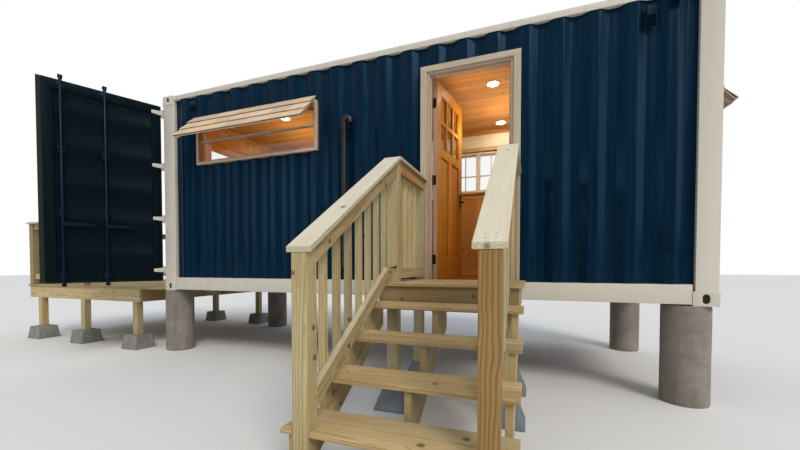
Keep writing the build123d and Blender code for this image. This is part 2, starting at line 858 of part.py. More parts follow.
def cargo_blade(z):
    """Hinge blade with its eye round the pin."""
    x0 = cargo_face - cargo_leaf_thickness
    eye = Pos(cargo_pin_x, cargo_pin_y, z) * Cylinder(cargo_pin_radius + 10, cargo_hinge_height)
    bore = Cylinder(cargo_pin_radius + cargo_pin_gap, 2 * cargo_hinge_height)
    bore = Pos(cargo_pin_x, cargo_pin_y, z) * bore
    y1 = leaf_root + cargo_blade_length
    outline = [(cargo_pin_y, z - cargo_hinge_height / 2), (y1, z - cargo_blade_tip / 2),
               (y1, z + cargo_blade_tip / 2), (cargo_pin_y, z + cargo_hinge_height / 2)]
    strap = prism_x(outline, x0 - cargo_blade_thickness, x0)
    return fused([eye, strap]) - bore


def cargo_lugs():
    """Lugs on the corner post with the hinge pins through them."""
    pieces = []
    for z in cargo_hinge_heights:
        half = cargo_hinge_height / 2
        pin = Pos(cargo_pin_x, cargo_pin_y, z) * Cylinder(cargo_pin_radius, cargo_hinge_height + 40)
        lugs = [pin]
        for z0 in (z - half - 20, z + half + 1):
            lug = Pos(cargo_pin_x, cargo_pin_y, z0)
            lug = lug * Cylinder(cargo_pin_radius + 8, 19, align=(Align.CENTER, Align.CENTER, Align.MIN))
            lugs.append(lug)
            lugs.append(block(cargo_pin_x, frame_inset, cargo_pin_y - 16, cargo_pin_y + 16, z0, z0 + 19))
        pieces.append(fused(lugs))
    return apart(pieces + [to_rear(p) for p in pieces])


def piers():
    places = []
    for x in (pier_inset_x_door, container_length - pier_inset_x_blind):
        for y in (pier_inset_y, container_width - pier_inset_y):
            column = Cylinder(pier_diameter / 2, piers_height, align=(Align.CENTER, Align.CENTER, Align.MIN))
            places.append(Pos(x, y, ground) * column)
    return apart(places)


def tread_front(n):
    """Front edge of tread n, counted from the ground."""
    return newel_front_y + (n - 1) * tread_run


def tread_top(n):
    """Walking surface of tread n, counted from the ground."""
    return ground + (n + 1) * tread_rise


stair_x0 = stair_centre_x - tread_length / 2
stair_x1 = stair_centre_x + tread_length / 2
newel_left = stair_centre_x - newel_centre - post / 2
newel_right = stair_centre_x + newel_centre - post / 2
landing_front = tread_front(tread_count)
rear_post_y = frame_inset - joist - post


def stair_post_holes():
    """Space taken by the newels and the landing posts."""
    holes = []
    for x in (newel_left, newel_right):
        for y in (newel_front_y, landing_post_front_y):
            holes.append(block(x, x + post, y, y + post, ground, landing_top + post))
        holes.append(block(x, x + post, rear_post_y, rear_post_y + post,
                           ground, landing_top - board_thickness))
    return holes


def stair_treads():
    """Two-board treads and the landing boards, notched round the posts."""
    boards = []
    for n in range(tread_count):
        for k in range(2):
            y = tread_front(n) + k * (board_width + board_gap)
            boards.append(block(stair_x0, stair_x1, y, y + board_width,
                                tread_top(n) - board_thickness, tread_top(n)))
    y = landing_front
    while y < -entry_proud - 2 * board_thickness:
        stop = min(y + board_width, -entry_proud - landing_gap)
        boards.append(block(stair_x0, stair_x1, y, stop, landing_top - board_thickness, landing_top))
        y += board_width + board_gap
    for hole in stair_post_holes():
        boards = [board - hole for board in boards]
    return apart(boards)


def stringer(x):
    """Cut stringer under the treads, from the ground to the landing beam."""
    outline = [(tread_front(0) + board_thickness, ground)]
    for n in range(tread_count):
        front = tread_front(n) + board_thickness
        top = tread_top(n) - board_thickness
        outline.append((front, top))
        outline.append((front + tread_run, top))
    back = landing_front + board_thickness
    drop = stringer_depth / math.cos(slope)
    low = tread_top(tread_count) - board_thickness - drop
    outline.append((back, low))
    outline.append((back - (low - ground) / math.tan(slope), ground))
    return prism_x(outline, x, x + joist)


stringer_left = newel_left - joist
stringer_right = newel_right + post
middle_stringer_x = stair_centre_x - joist / 2


def stair_stringers():
    return apart([stringer(stringer_left), stringer(stringer_right), stringer(middle_stringer_x)])


def landing_frame():
    """Rims and joist under the landing, the rear rim on the container's bottom rail."""
    z1 = landing_top - board_thickness
    z0 = z1 - joist_depth_large
    y0 = landing_front + board_thickness
    y1 = frame_inset
    x0 = stringer_left
    x1 = stringer_right + joist
    pieces = [
        block(x0, x1, y0, y0 + joist, z0, z1),
        block(x0, x1, y1 - joist, y1, z0, z1),
        block(x0, x0 + joist, y0 + joist, y1 - joist, z0, z1),
        block(x1 - joist, x1, y0 + joist, y1 - joist, z0, z1),
        block(middle_stringer_x, middle_stringer_x + joist, y0 + joist, y1 - joist, z0, z1),
    ]
    frame = fused(pieces)
    for hole in stair_post_holes():
        frame = frame - hole
    return frame


def rail_line(y):
    """Top of the sloped cap at a given Y."""
    return tread_top(1) + rail_above_nosing + (y - newel_front_y) * math.tan(slope)


cap_drop = cap_thickness / math.cos(slope)
cap_peak = rail_line(cap_peak_y)
rail_end_y = -entry_proud - landing_gap
wall_stud_y = rail_end_y - joist
landing_rail_y = landing_post_front_y + post
landing_rail_top = landing_top + landing_rail_lift + rail_depth


def stair_posts():
    """Newels and landing posts, cut under the cap."""
    posts = []
    for x in (newel_left, newel_right):
        y0, y1 = newel_front_y, newel_front_y + post
        newel = [(y0, ground), (y1, ground), (y1, rail_line(y1) - cap_drop), (y0, rail_line(y0) - cap_drop)]
        posts.append(prism_x(newel, x, x + post))
        y0, y1 = landing_post_front_y, landing_rail_y
        foot = ground + stair_block_height
        bend = cap_peak - cap_thickness
        top = [(y0, foot), (y1, foot), (y1, bend), (cap_bend_y, bend), (y0, rail_line(y0) - cap_drop)]
        posts.append(prism_x(top, x, x + post))
        posts.append(block(x, x + post, rear_post_y, rear_post_y + post, foot, landing_top - board_thickness))
    return apart(posts)


cap_bend_y = cap_peak_y + (cap_drop - cap_thickness) / math.tan(slope)


def stair_railing(x, steps_right):
    """Cap, rails and balusters of one side; steps_right when the steps lie towards +X."""
    middle = x + post / 2
    start = newel_front_y - cap_overhang
    under = cap_peak - cap_thickness
    cap = prism_x([(start, rail_line(start)), (cap_peak_y, cap_peak), (rail_end_y, cap_peak),
                   (rail_end_y, under), (cap_bend_y, under), (start, rail_line(start) - cap_drop)],
                  middle - cap_width / 2, middle + cap_width / 2)
    rail_x = (x + post - joist, x + post) if steps_right else (x, x + joist)
    baluster_x = (rail_x[0] - baluster, rail_x[0]) if steps_right else (rail_x[1], rail_x[1] + baluster)
    depth = rail_depth / math.cos(slope)
    low_y, high_y = newel_front_y + post, landing_post_front_y
    foot = rail_above_nosing - bottom_rail_lift

    def sloped(y0, y1, upper, lower):
        return [(y0, rail_line(y0) - upper), (y1, rail_line(y1) - upper),
                (y1, rail_line(y1) - lower), (y0, rail_line(y0) - lower)]

    lower = prism_x(sloped(low_y, high_y, foot - depth, foot), *rail_x)
    lower -= block(x - post, x + 2 * post, low_y, high_y + post, landing_rail_top, cap_peak)
    pieces = [
        cap,
        prism_x(sloped(low_y, high_y, cap_drop, cap_drop + depth), *rail_x),
        lower,
        block(*rail_x, landing_rail_y, wall_stud_y, under - rail_depth, under),
        block(*rail_x, landing_rail_y, wall_stud_y, landing_top + landing_rail_lift, landing_rail_top),
        block(x, x + post, wall_stud_y, rail_end_y, landing_top, under),
    ]
    count = round((high_y - low_y) / baluster_pitch)
    step = (high_y - low_y) / count
    for n in range(1, count):
        y = low_y + n * step - baluster / 2
        pieces.append(prism_x(sloped(y, y + baluster, cap_drop, foot), *baluster_x))
    count = round((wall_stud_y - landing_rail_y) / baluster_pitch)
    step = (wall_stud_y - landing_rail_y) / count
    for n in range(1, count):
        y = landing_rail_y + n * step - baluster / 2
        pieces.append(block(*baluster_x, y, y + baluster, landing_top + landing_rail_lift, under))
    return fused(pieces)


deck_top = deck_board_bottom + board_thickness
deck_rear_y = container_width - deck_front_y
deck_under = deck_board_bottom - joist_depth_large


def deck_frame():
    """Rims and joists of the deck, with short joists over the gap to the container."""
    x0, x1 = deck_left, deck_cross_beam_x
    y0, y1 = deck_front_y, deck_rear_y
    z0, z1 = deck_under, deck_board_bottom
    pieces = [
        block(x0, x1, y0, y0 + joist, z0, z1),
        block(x0, x1, y1 - joist, y1, z0, z1),
        block(x0, x0 + joist, y0 + joist, y1 - joist, z0, z1),
        block(x1 - joist, x1, y0 + joist, y1 - joist, z0, z1),
    ]
    count = round((x1 - x0) / deck_joist_pitch)
    for n in range(1, count):
        x = x0 + n * (x1 - x0) / count
        pieces.append(block(x - joist / 2, x + joist / 2, y0 + joist, y1 - joist,
                            z1 - joist_depth_small, z1))
    span = y1 - y0 - 4 * pier_diameter
    for n in range(short_joists):
        y = y0 + 2 * pier_diameter + n * span / (short_joists - 1)
        pieces.append(block(x1, 0, y - joist / 2, y + joist / 2, z1 - joist_depth_small, z1))
    return fused(pieces)


def deck_post_places():
    """Lower left corners of the deck posts, flush with the front and rear rims."""
    return [(x, y) for x in deck_post_columns for y in (deck_front_y, deck_rear_y - post)]


def deck_posts():
    return apart([block(x, x + post, y, y + post, ground + block_height, deck_under)
                  for x, y in deck_post_places()])


def deck_boards():
    """Decking boards along X, a small gap between them."""
    boards = []
    y = deck_front_y - deck_overhang
    while y < deck_rear_y + deck_overhang - board_width / 2:
        boards.append(block(deck_left - deck_overhang, 0, y, y + board_width, deck_board_bottom, deck_top))
        y += board_width + board_gap
    return apart(boards)


def taper_block(x, y, height, top, bottom):
    """Precast footing block with sloping sides."""
    lower = Plane((x, y, ground)) * Rectangle(bottom, bottom)
    upper = Plane((x, y, ground + height)) * Rectangle(top, top)
    return loft([lower, upper])


def footing_blocks():
    pieces = [taper_block(x + post / 2, y + post / 2, block_height, block_top, block_bottom)
              for x, y in deck_post_places()]
    for x in (newel_left, newel_right):
        for y in (landing_post_front_y, rear_post_y):
            pieces.append(taper_block(x + post / 2, y + post / 2, stair_block_height,
                                      stair_block_top, stair_block_bottom))
    return apart(pieces)


def fence_panel(length):
    """Rails and balusters along X from 0, the deck surface at Z 0, the outer face at Y 0."""
    under = deck_rail_height - cap_thickness
    rail_y = (post - joist) / 2
    pieces = [block(0, length, rail_y, rail_y + joist, z, z + rail_depth)
              for z in (deck_rail_lift, under - rail_depth)]
    count = round(length / deck_baluster_pitch)
    step = length / count
    for n in range(1, count):
        x = n * step - baluster / 2
        pieces.append(block(x, x + baluster, rail_y + joist, rail_y + joist + deck_baluster,
                            deck_rail_lift, under))
    return pieces


def deck_railing_front():
    """Panel between a corner post and an end post, under a flat cap."""
    under = deck_rail_height - cap_thickness
    side = (cap_width - post) / 2
    pieces = [Pos(post, 0, 0) * piece for piece in fence_panel(deck_rail_run - 2 * post)]
    pieces += [block(x, x + post, 0, post, 0, under) for x in (0, deck_rail_run - post)]
    pieces.append(block(-side, deck_rail_run + side, -side, post + side, under, deck_rail_height))
    return Pos(deck_left, deck_front_y, deck_top) * fused(pieces)


def deck_railing_left():
    """Panel between the two corner posts with a middle post."""
    under = deck_rail_height - cap_thickness
    side = (cap_width - post) / 2
    length = deck_rear_y - deck_front_y - 2 * post
    half = (length - post) / 2
    pieces = fence_panel(half) + [Pos(half + post, 0, 0) * piece for piece in fence_panel(half)]
    pieces.append(block(half, half + post, 0, post, 0, under))
    pieces.append(block(side, length - side, -side, post + side, under, deck_rail_height))
    turned = Rot(0, 0, 90) * mirror(fused(pieces), Plane.XZ)
    return Pos(deck_left, deck_front_y + post, deck_top) * turned


def deck_railing_rear():
    return to_rear(deck_railing_front())


nodes = {
    "end_frame_left": end_frame(0),
    "end_frame_right": end_frame(1),
    "bottom_rail_front": bottom_rail(),
    "bottom_rail_rear": bottom_rail(rear=True),
    "top_rail_front": top_rail(),
    "top_rail_rear": top_rail(rear=True),
    "front_wall_left": front_wall_left(),
    "front_wall_over_door": front_wall_over_door(),
    "front_wall_right": front_wall_right(),
    "rear_wall": rear_wall(),
    "blind_end_wall": blind_end_wall(),
    "roof_panel": roof_panel(),
    "floor_deck": floor_deck(),
    "cross_members": cross_members(),
    "lining_front_left": lining_front_left(),
    "lining_over_door": lining_over_door(),
    "lining_front_right": lining_front_right(),
    "lining_rear": lining_rear(),
    "lining_right": lining_right(),
    "ceiling": ceiling(),
    "infill_wall": infill_wall(),
    "deck_doors": deck_doors(),
    "entry_frame": entry_frame(),
    "entry_leaf": entry_leaf(),
    "entry_glass": entry_glass(),
    "entry_hinges": entry_hinges(),
    "entry_hinge_leaves": entry_hinge_leaves(),
    "entry_handle": entry_handle(),
    "front_window_frame": front_window_frame(),
    "rear_window_frame": rear_window_frame(),
    "end_window_frame": end_window_frame(),
    "window_glass": window_glass(),
    "front_awning": front_awning(),
    "end_awning": end_awning(),
    "vent_pipe": vent_pipe(),
    "cargo_leaf_front": swung(cargo_leaf()),
    "cargo_hardware_front": swung(cargo_hardware()),
    "cargo_leaf_rear": to_rear(swung(cargo_leaf())),
    "cargo_hardware_rear": to_rear(swung(cargo_hardware())),
    "cargo_lugs": cargo_lugs(),
    "piers": piers(),
    "deck_frame": deck_frame(),
    "deck_posts": deck_posts(),
    "deck_boards": deck_boards(),
    "deck_railing_front": deck_railing_front(),
    "deck_railing_left": deck_railing_left(),
    "deck_railing_rear": deck_railing_rear(),
    "footing_blocks": footing_blocks(),
    "stair_stringers": stair_stringers(),
    "landing_frame": landing_frame(),
    "stair_treads": stair_treads(),
    "stair_posts": stair_posts(),
    "stair_railing_left": stair_railing(newel_left, True),
    "stair_railing_right": stair_railing(newel_right, False),
}

# The exported frame has its origin on the ground, under the middle of the whole cabin.
whole = Compound(children=[Compound(children=shape.solids()) for shape in nodes.values()]).bounding_box()
origin = ((whole.min.X + whole.max.X) / 2, (whole.min.Y + whole.max.Y) / 2, whole.min.Z)
place = Pos(-origin[0], -origin[1], -origin[2])

os.makedirs("parts", exist_ok=True)
for name, shape in nodes.items():
    export_step(place * shape, f"parts/{name}.step")
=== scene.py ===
import bmesh
import bpy
import json
import math
import random
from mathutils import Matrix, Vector, noise


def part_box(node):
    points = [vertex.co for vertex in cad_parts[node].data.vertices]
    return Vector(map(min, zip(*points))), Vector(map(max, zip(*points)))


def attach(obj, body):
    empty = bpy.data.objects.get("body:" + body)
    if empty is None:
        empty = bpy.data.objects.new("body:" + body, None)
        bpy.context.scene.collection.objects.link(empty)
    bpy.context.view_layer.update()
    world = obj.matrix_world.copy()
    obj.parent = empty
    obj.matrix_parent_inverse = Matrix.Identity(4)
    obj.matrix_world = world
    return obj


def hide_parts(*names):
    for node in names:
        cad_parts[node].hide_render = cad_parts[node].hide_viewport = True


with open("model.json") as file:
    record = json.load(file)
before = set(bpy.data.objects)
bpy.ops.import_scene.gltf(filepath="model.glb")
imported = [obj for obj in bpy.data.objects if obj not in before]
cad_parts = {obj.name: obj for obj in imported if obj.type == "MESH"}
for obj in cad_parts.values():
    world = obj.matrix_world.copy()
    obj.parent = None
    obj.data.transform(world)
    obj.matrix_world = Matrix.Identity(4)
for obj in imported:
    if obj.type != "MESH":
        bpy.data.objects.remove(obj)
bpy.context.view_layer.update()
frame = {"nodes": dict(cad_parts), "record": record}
nodes = frame["nodes"]
scene = bpy.context.scene
SLOTS = {row["node"]: row["material_slot"] for row in frame["record"]["subparts"]}
BODIES = {node: body for body, members in frame["record"]["behaviour"]["bodies"].items() for node in members}

# Lengths are millimetres in the container's own frame, and metres in materials:
# X from the cargo-door end, Y from the entrance side, Z up from its underside.
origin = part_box("end_frame_left")[0]
LENGTH, WIDTH, HEIGHT = 6058, 2438, 2591
GROUND, FLOOR, CEILING = -827, 174, 2450
ROOM_X0, ROOM_X1, ROOM_FRONT, ROOM_REAR = 210, 5937, 110, 2328
# Depth of the wall sheets' outer faces, of the entrance leaf's and of the deck doors' faces
SKIN, LEAF_Y0, LEAF_Y1, PAIR_X0, PAIR_X1 = 12, 66, 110, 140, 184
ALONG, ACROSS, UP = (1, 0, 0), (0, 1, 0), (0, 0, 1)
WAYS = {"x": ALONG, "y": ACROSS, "z": UP}

# Room faces of the wall boards
BOARD_FRONT, BOARD_REAR, FIRST_BOARD, LAST_BOARD = 118.5, 2319.5, 218.5, 5928.5

# Openings, as low and high along the wall and then in height
FRONT_HOLE = (610, 2405, 1625, 2180)
REAR_HOLE = (3440, 4290, 1480, 2130)
END_HOLE = (600, 1838, 1515, 2070)
ENTRY_X0, ENTRY_X1, ENTRY_TOP = 3607, 4559, 2308
PAIR_Y0, PAIR_Y1, PAIR_TOP = 469, 1969, 2240


def at(x, y, z):
    """A point of the container's frame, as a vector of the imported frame."""
    return Vector((x / 1000, y / 1000, z / 1000)) + origin


# Camera
camera = bpy.data.objects.new("camera", bpy.data.cameras.new("camera"))
scene.collection.objects.link(camera)
camera.data.sensor_width = 36
camera.data.lens = 16.41
camera.data.shift_x = 0.0065
camera.data.shift_y = 0.0633
camera.location = at(4645, -3573, 320)
camera.rotation_euler = (math.radians(88.56), 0, math.radians(20.25))
scene.camera = camera
scene.view_settings.view_transform = "Standard"


# Shader nodes
class Shade:
    """The node tree of a material or a world, with short calls for the nodes used here."""

    def __init__(self, owner):
        owner.use_nodes = True
        self.tree = owner.node_tree
        self.tree.nodes.clear()

    def set(self, socket, value):
        if isinstance(value, bpy.types.NodeSocket):
            self.tree.links.new(value, socket)
        else:
            socket.default_value = value

    def node(self, kind, inputs=None, **settings):
        """Makes a node from its settings and its inputs, each a value or a socket."""
        made = self.tree.nodes.new("ShaderNode" + kind)
        for key, value in settings.items():
            setattr(made, key, value)
        for key, value in (inputs or {}).items():
            self.set(made.inputs[key], value)
        return made

    def add(self, kind, inputs=None, out=0, **settings):
        """Makes a node and gives one of its outputs."""
        return self.node(kind, inputs, **settings).outputs[out]

    def place(self):
        return self.add("TexCoord", out="Object")

    def math(self, operation, a, b=0.0):
        return self.add("Math", {0: a, 1: b}, operation=operation)

    def times(self, a, b):
        return self.math("MULTIPLY", a, b)

    def plus(self, a, b):
        return self.math("ADD", a, b)

    def blend(self, share, a, b):
        """Mix of two colours, given as sockets or as linear colours."""
        a, b = ((*c, 1) if isinstance(c, tuple) else c for c in (a, b))
        return self.add("Mix", {0: share, 6: a, 7: b}, out=2, data_type="RGBA")

    def spread(self, value, low, high, to_low=0.0, to_high=1.0, kind="SMOOTHSTEP"):
        return self.add("MapRange", {0: value, 1: low, 2: high, 3: to_low, 4: to_high}, interpolation_type=kind)

    def cloud(self, vector, scale, detail=3.0, rough=0.5, stretch=None):
        """Noise at a scale per metre; stretch multiplies each axis first."""
        if stretch:
            vector = self.add("VectorMath", {0: vector, 1: stretch}, operation="MULTIPLY")
        return self.add("TexNoise", {"Vector": vector, "Scale": scale, "Detail": detail, "Roughness": rough})

    def split(self, vector):
        """The X, Y and Z of a vector."""
        return self.node("SeparateXYZ", {0: vector}).outputs


class Material(Shade):
    """A material with one principled shader."""

    def __init__(self, name):
        self.material = bpy.data.materials.new(name)
        super().__init__(self.material)
        self.shader = self.node("BsdfPrincipled")
        self.node("OutputMaterial", {0: self.shader.outputs[0]})

    def done(self, colour, rough, bump=(), **others):
        """Sets the shader's sockets and gives the material. A bump is its height, strength and distance."""
        if bump:
            others["Normal"] = self.add("Bump", dict(zip(("Height", "Strength", "Distance"), bump)))
        for key, value in {"Base Color": colour, "Roughness": rough, **others}.items():
            self.set(self.shader.inputs[key.replace("_", " ")], (*value, 1) if isinstance(value, tuple) else value)
        return self.material


# World, lights and floor
world = bpy.data.worlds.new("world")
scene.world = world
w = Shade(world)
path = w.node("LightPath")
seen = w.math("MAXIMUM", path.outputs["Is Camera Ray"], path.outputs["Is Transmission Ray"])
rise = w.split(w.add("TexCoord", out="Generated"))[2]
sky = w.add("Background", {0: (0.86, 0.92, 1.0, 1), 1: w.spread(rise, 0.0, 0.9, 0.14, 0.90, "LINEAR")})
white = w.add("Background", {0: (1, 1, 1, 1), 1: 1.0})
w.node("OutputWorld", {0: w.add("MixShader", {0: seen, 1: sky, 2: white})})


def lamp(name, kind, energy, location, target, colour, size=None, angle=None):
    data = bpy.data.lights.new(name, kind)
    data.energy = energy
    data.color = colour
    if size:
        data.shape = "RECTANGLE"
        data.size, data.size_y = size
    if angle:
        data.angle = math.radians(angle)
    made = bpy.data.objects.new(name, data)
    scene.collection.objects.link(made)
    made.location = location
    made.rotation_euler = (Vector(target) - Vector(location)).to_track_quat("-Z", "Y").to_euler()
    return made


lamp("key_light", "SUN", 1.5, (6, -6.5, 8.5), (0, 0, 0.5), (1.0, 0.95, 0.87), angle=22)
lamp("right_light", "AREA", 75, at(12500, -3300, 3300), at(5200, 0, 1300), (1.0, 0.97, 0.93), (4.5, 4.5))
lamp("side_light", "AREA", 80, (-5.5, -9.5, 3.6), (0, -0.5, 1.6), (0.88, 0.94, 1.0), (5, 3.6))
for n, (x, y, z, watts) in enumerate(((1350, 1250, 1900, 24), (4300, 1500, 2000, 20), (3950, 700, 1900, 12))):
    warm_lamp = lamp(f"room_light_{n}", "POINT", watts, at(x, y, z), at(x, y, 0), (1.0, 0.76, 0.42))
    warm_lamp.data.shadow_soft_size = 0.2
    warm_lamp.visible_camera = warm_lamp.visible_transmission = warm_lamp.visible_glossy = False

floor_mesh = bpy.data.meshes.new("floor")
floor_mesh.from_pydata([(-60, -60, 0), (60, -60, 0), (60, 60, 0), (-60, 60, 0)], [], [(0, 1, 2, 3)])
floor = bpy.data.objects.new("floor", floor_mesh)
scene.collection.objects.link(floor)
floor_mesh.materials.append(Material("pale_floor").done((0.78, 0.77, 0.75), 0.9))


# Mesh building
def turn_about(x, y, degrees):
    """Turns points of the container's frame about an upright line."""
    c, s = math.cos(math.radians(degrees)), math.sin(math.radians(degrees))
    return lambda p: (x + (p[0] - x) * c - (p[1] - y) * s, y + (p[0] - x) * s + (p[1] - y) * c, p[2])


def to_rear(p):
    return p[0], WIDTH - p[1], p[2]


def ease(bm, size, segments=1, edges=None):
    """Bevels all edges, or the given ones."""
    bmesh.ops.bevel(bm, geom=bm.edges[:] if edges is None else edges, offset=size, segments=segments, profile=0.5,
                    affect="EDGES", clamp_overlap=True)


def loft(bm, rings):
    """Closes the first and the last ring of points and joins each ring to the next."""
    bm.faces.new(rings[0])
    bm.faces.new(rings[-1])
    for lower, upper in zip(rings, rings[1:]):
        for k in range(len(lower)):
            m = (k + 1) % len(lower)
            bm.faces.new((lower[k], lower[m], upper[m], upper[k]))


class Build:
    """Gathers bars, tubes and sheets, with a grain coordinate and a random tone at each point."""

    def __init__(self, seed, change=None):
        self.random = random.Random(seed)
        self.points, self.faces, self.grain, self.tone = [], [], [], []
        self.fixed = None
        self.change = change

    def add(self, points, faces, along=ALONG):
        """Adds a closed shape; its grain runs along a direction, its rings about a line beside it."""
        r = self.random
        u = Vector(along).normalized()
        side = Vector(UP) if abs(u.z) < 0.7 else Vector(ACROSS)
        w = u.cross(side).normalized()
        v = w.cross(u)
        local = [(u.dot(p), v.dot(p), w.dot(p)) for p in map(Vector, points)]
        low = [min(p[k] for p in local) for k in range(3)]
        high = [max(p[k] for p in local) for k in range(3)]
        if high[1] - low[1] < high[2] - low[2]:
            local = [(p[0], p[2], p[1]) for p in local]
            low, high = [low[0], low[2], low[1]], [high[0], high[2], high[1]]
        middle = (low[1] + high[1]) / 2 + r.uniform(-0.3, 0.3) * (high[1] - low[1])
        below = low[2] - r.uniform(6, 45)
        start = r.uniform(0, 40)
        tone = self.fixed or (r.random(), r.random(), r.random())
        first = len(self.points)
        self.points += map(self.change, points) if self.change else points
        self.faces += [[first + k for k in face] for face in faces]
        self.grain += [(p[0] / 1000 + start, (p[1] - middle) / 1000, (p[2] - below) / 1000) for p in local]
        self.tone += [tone] * len(points)

    def add_bmesh(self, bm, along=ALONG):
        bm.verts.ensure_lookup_table()
        bmesh.ops.recalc_face_normals(bm, faces=bm.faces)
        for k, vert in enumerate(bm.verts):
            vert.index = k
        self.add([tuple(v.co) for v in bm.verts], [[v.index for v in f.verts] for f in bm.faces], along)
        bm.free()

    def prism(self, outline, axis, low, high, along=None, bevel=2.0, segments=1):
        """A bar with eased edges: an outline across an axis, drawn out from low to high."""
        order = {"x": lambda a, b, c: (c, a, b), "y": lambda a, b, c: (a, c, b), "z": lambda a, b, c: (a, b, c)}[axis]
        bm = bmesh.new()
        rings = [[bm.verts.new(order(a, b, c)) for a, b in outline] for c in (low, high)]
        loft(bm, rings)
        bmesh.ops.recalc_face_normals(bm, faces=bm.faces)
        if bevel:
            ease(bm, bevel, segments)
        self.add_bmesh(bm, along or WAYS[axis])

    def bar(self, x0, x1, y0, y1, z0, z1, bevel=2.0, segments=1, along=None):
        """A box with eased edges; its grain runs along its longest side unless told."""
        sizes = (x1 - x0, y1 - y0, z1 - z0)
        longest = (ALONG, ACROSS, UP)[sizes.index(max(sizes))]
        bevel = min(bevel, 0.3 * min(sizes))
        self.prism([(x0, y0), (x1, y0), (x1, y1), (x0, y1)], "z", z0, z1, along or longest, bevel, segments)

    def tube(self, line, radius, sides=12, close=False):
        """A round bar along a line, with flat ends or joined to itself. The radius may be one for each point."""
        line = [Vector(p) for p in line]
        count = len(line)
        points, faces = [], []
        normal = None
        for k, p in enumerate(line):
            before = line[(k - 1) % count] if close or k else p
            after = line[(k + 1) % count] if close or k < count - 1 else p
            way = (after - before).normalized()
            if normal is None:
                normal = way.orthogonal().normalized()
            normal = (normal - way * normal.dot(way)).normalized()
            other = way.cross(normal)
            reach = radius[k] if isinstance(radius, list) else radius
            for s in range(sides):
                a = 2 * math.pi * s / sides
                points.append(tuple(p + normal * (reach * math.cos(a)) + other * (reach * math.sin(a))))
        for k in range(count if close else count - 1):
            for s in range(sides):
                a, b = k * sides, ((k + 1) % count) * sides
                faces.append([a + s, a + (s + 1) % sides, b + (s + 1) % sides, b + s])
        if not close:
            faces += [list(reversed(range(sides))), [(count - 1) * sides + s for s in range(sides)]]
        self.add(points, faces, tuple(line[1] - line[0]))

    def disc(self, centre, way, radius, height, sides=14):
        """A low round head, such as a screw's, with an eased rim."""
        way = Vector(way).normalized()
        centre = Vector(centre)
        self.tube([centre, centre + way * height * 0.6, centre + way * height], [radius, radius, radius * 0.65], sides)

    def make(self, name, material, node=None, slot=None, body=None, smooth=0):
        mesh = bpy.data.meshes.new(name)
        mesh.from_pydata([tuple(at(*p)) for p in self.points], [], self.faces)
        for label, values in (("grain", self.grain), ("tone", self.tone)):
            mesh.attributes.new(label, "FLOAT_VECTOR", "POINT").data.foreach_set(
                "vector", [x for value in values for x in value])
        return put(mesh, name, material, node, slot, body, smooth)


def put(mesh, name, material, node=None, slot=None, body=None, smooth=0):
    """Makes an object of a mesh, on its body. One for a node has the node's body; its slot is looked up but not
    applied.
    """
    if smooth:
        mesh.shade_smooth()
        mesh.set_sharp_from_angle(angle=math.radians(smooth))
    mesh.materials.append(material)
    piece = bpy.data.objects.new(name, mesh)
    scene.collection.objects.link(piece)
    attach(piece, body or BODIES.get(node, "cabin"))
    if node:
        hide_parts(node)
    if slot or node:
        slot or SLOTS[node]
    return piece


# Materials
def timber(name, light, dark, other, rings, knots=0.0, rough=0.62, top_bleach_and_light=0.0, relief=0.0006, vary=0.22,
           warmth=0.0, whole=False, wander=0.02):
    """Sawn wood: rings about a line beside each board, fibres, knots and a tone of its own for each board."""
    m = Material(name)
    if whole:
        grain = m.place()
        tone = m.add("TexNoise", {"Vector": grain, "Scale": 1.5}, out=1)
    else:
        grain, tone = (m.add("Attribute", out="Vector", attribute_name=label) for label in ("grain", "tone"))
    lightness, otherness, warmness = m.split(tone)
    x, y, z = m.split(grain)
    bend = m.cloud(grain, 1.0, 2.0, stretch=(1.1, 7, 7))
    across = m.math("SQRT", m.plus(m.math("POWER", y, 2.0), m.math("POWER", z, 2.0)))
    radius = m.plus(m.plus(across, m.times(x, 0.012)), m.times(bend, wander))
    if knots:
        cells = m.add("TexVoronoi", {"Vector": grain, "Scale": knots}, out="Distance", feature="F1")
        radius = m.plus(radius, m.spread(cells, 0.42, 0.04, 0.0, 0.022))
    turn = m.math("FRACT", m.math("DIVIDE", radius, rings))
    late = m.times(m.spread(turn, 0.25, 0.9), m.spread(turn, 1.0, 0.93))
    fibre = m.cloud(grain, 1.0, 4.0, 0.6, stretch=(9, 420, 420))
    patch = m.cloud(grain, 1.0, 3.0, 0.55, stretch=(2.2, 18, 18))
    colour = m.blend(m.times(late, 0.85), light, dark)
    colour = m.blend(m.times(otherness, 0.75), colour, other)
    if warmth:
        colour = m.blend(m.spread(warmness, 0.5, 1.0, 0.0, warmth), colour, (0.30, 0.155, 0.045))
    colour = m.blend(m.spread(patch, 0.35, 0.75, 0.0, 0.35), colour, dark)
    shade = m.times(m.spread(lightness, 0, 1, 1 - vary, 1 + vary, "LINEAR"), m.spread(fibre, 0.3, 0.7, 0.80, 1.12))
    colour = m.add("VectorMath", {0: colour, "Scale": shade}, operation="SCALE")
    # Upward faces are mixed towards a pale grey-tan in patches: partly sun-bleach, partly painted light on the tops.
    if top_bleach_and_light:
        height = m.split(m.add("NewGeometry", out="Normal"))[2]
        top_bleach_and_light_share = m.times(m.spread(height, 0.6, 0.85), m.spread(patch, 0.25, 0.7, 1.0, 0.72))
        colour = m.blend(m.times(top_bleach_and_light_share, top_bleach_and_light), colour, (0.72, 0.65, 0.49))
    if knots:
        colour = m.blend(m.times(m.spread(cells, 0.115, 0.06), 0.8), colour, tuple(c * 0.28 for c in dark))
    return m.done(colour, m.spread(fibre, 0.2, 0.8, rough - 0.1, rough + 0.12),
                  (m.plus(m.times(late, 0.6), m.times(fibre, 0.8)), 0.5, relief))


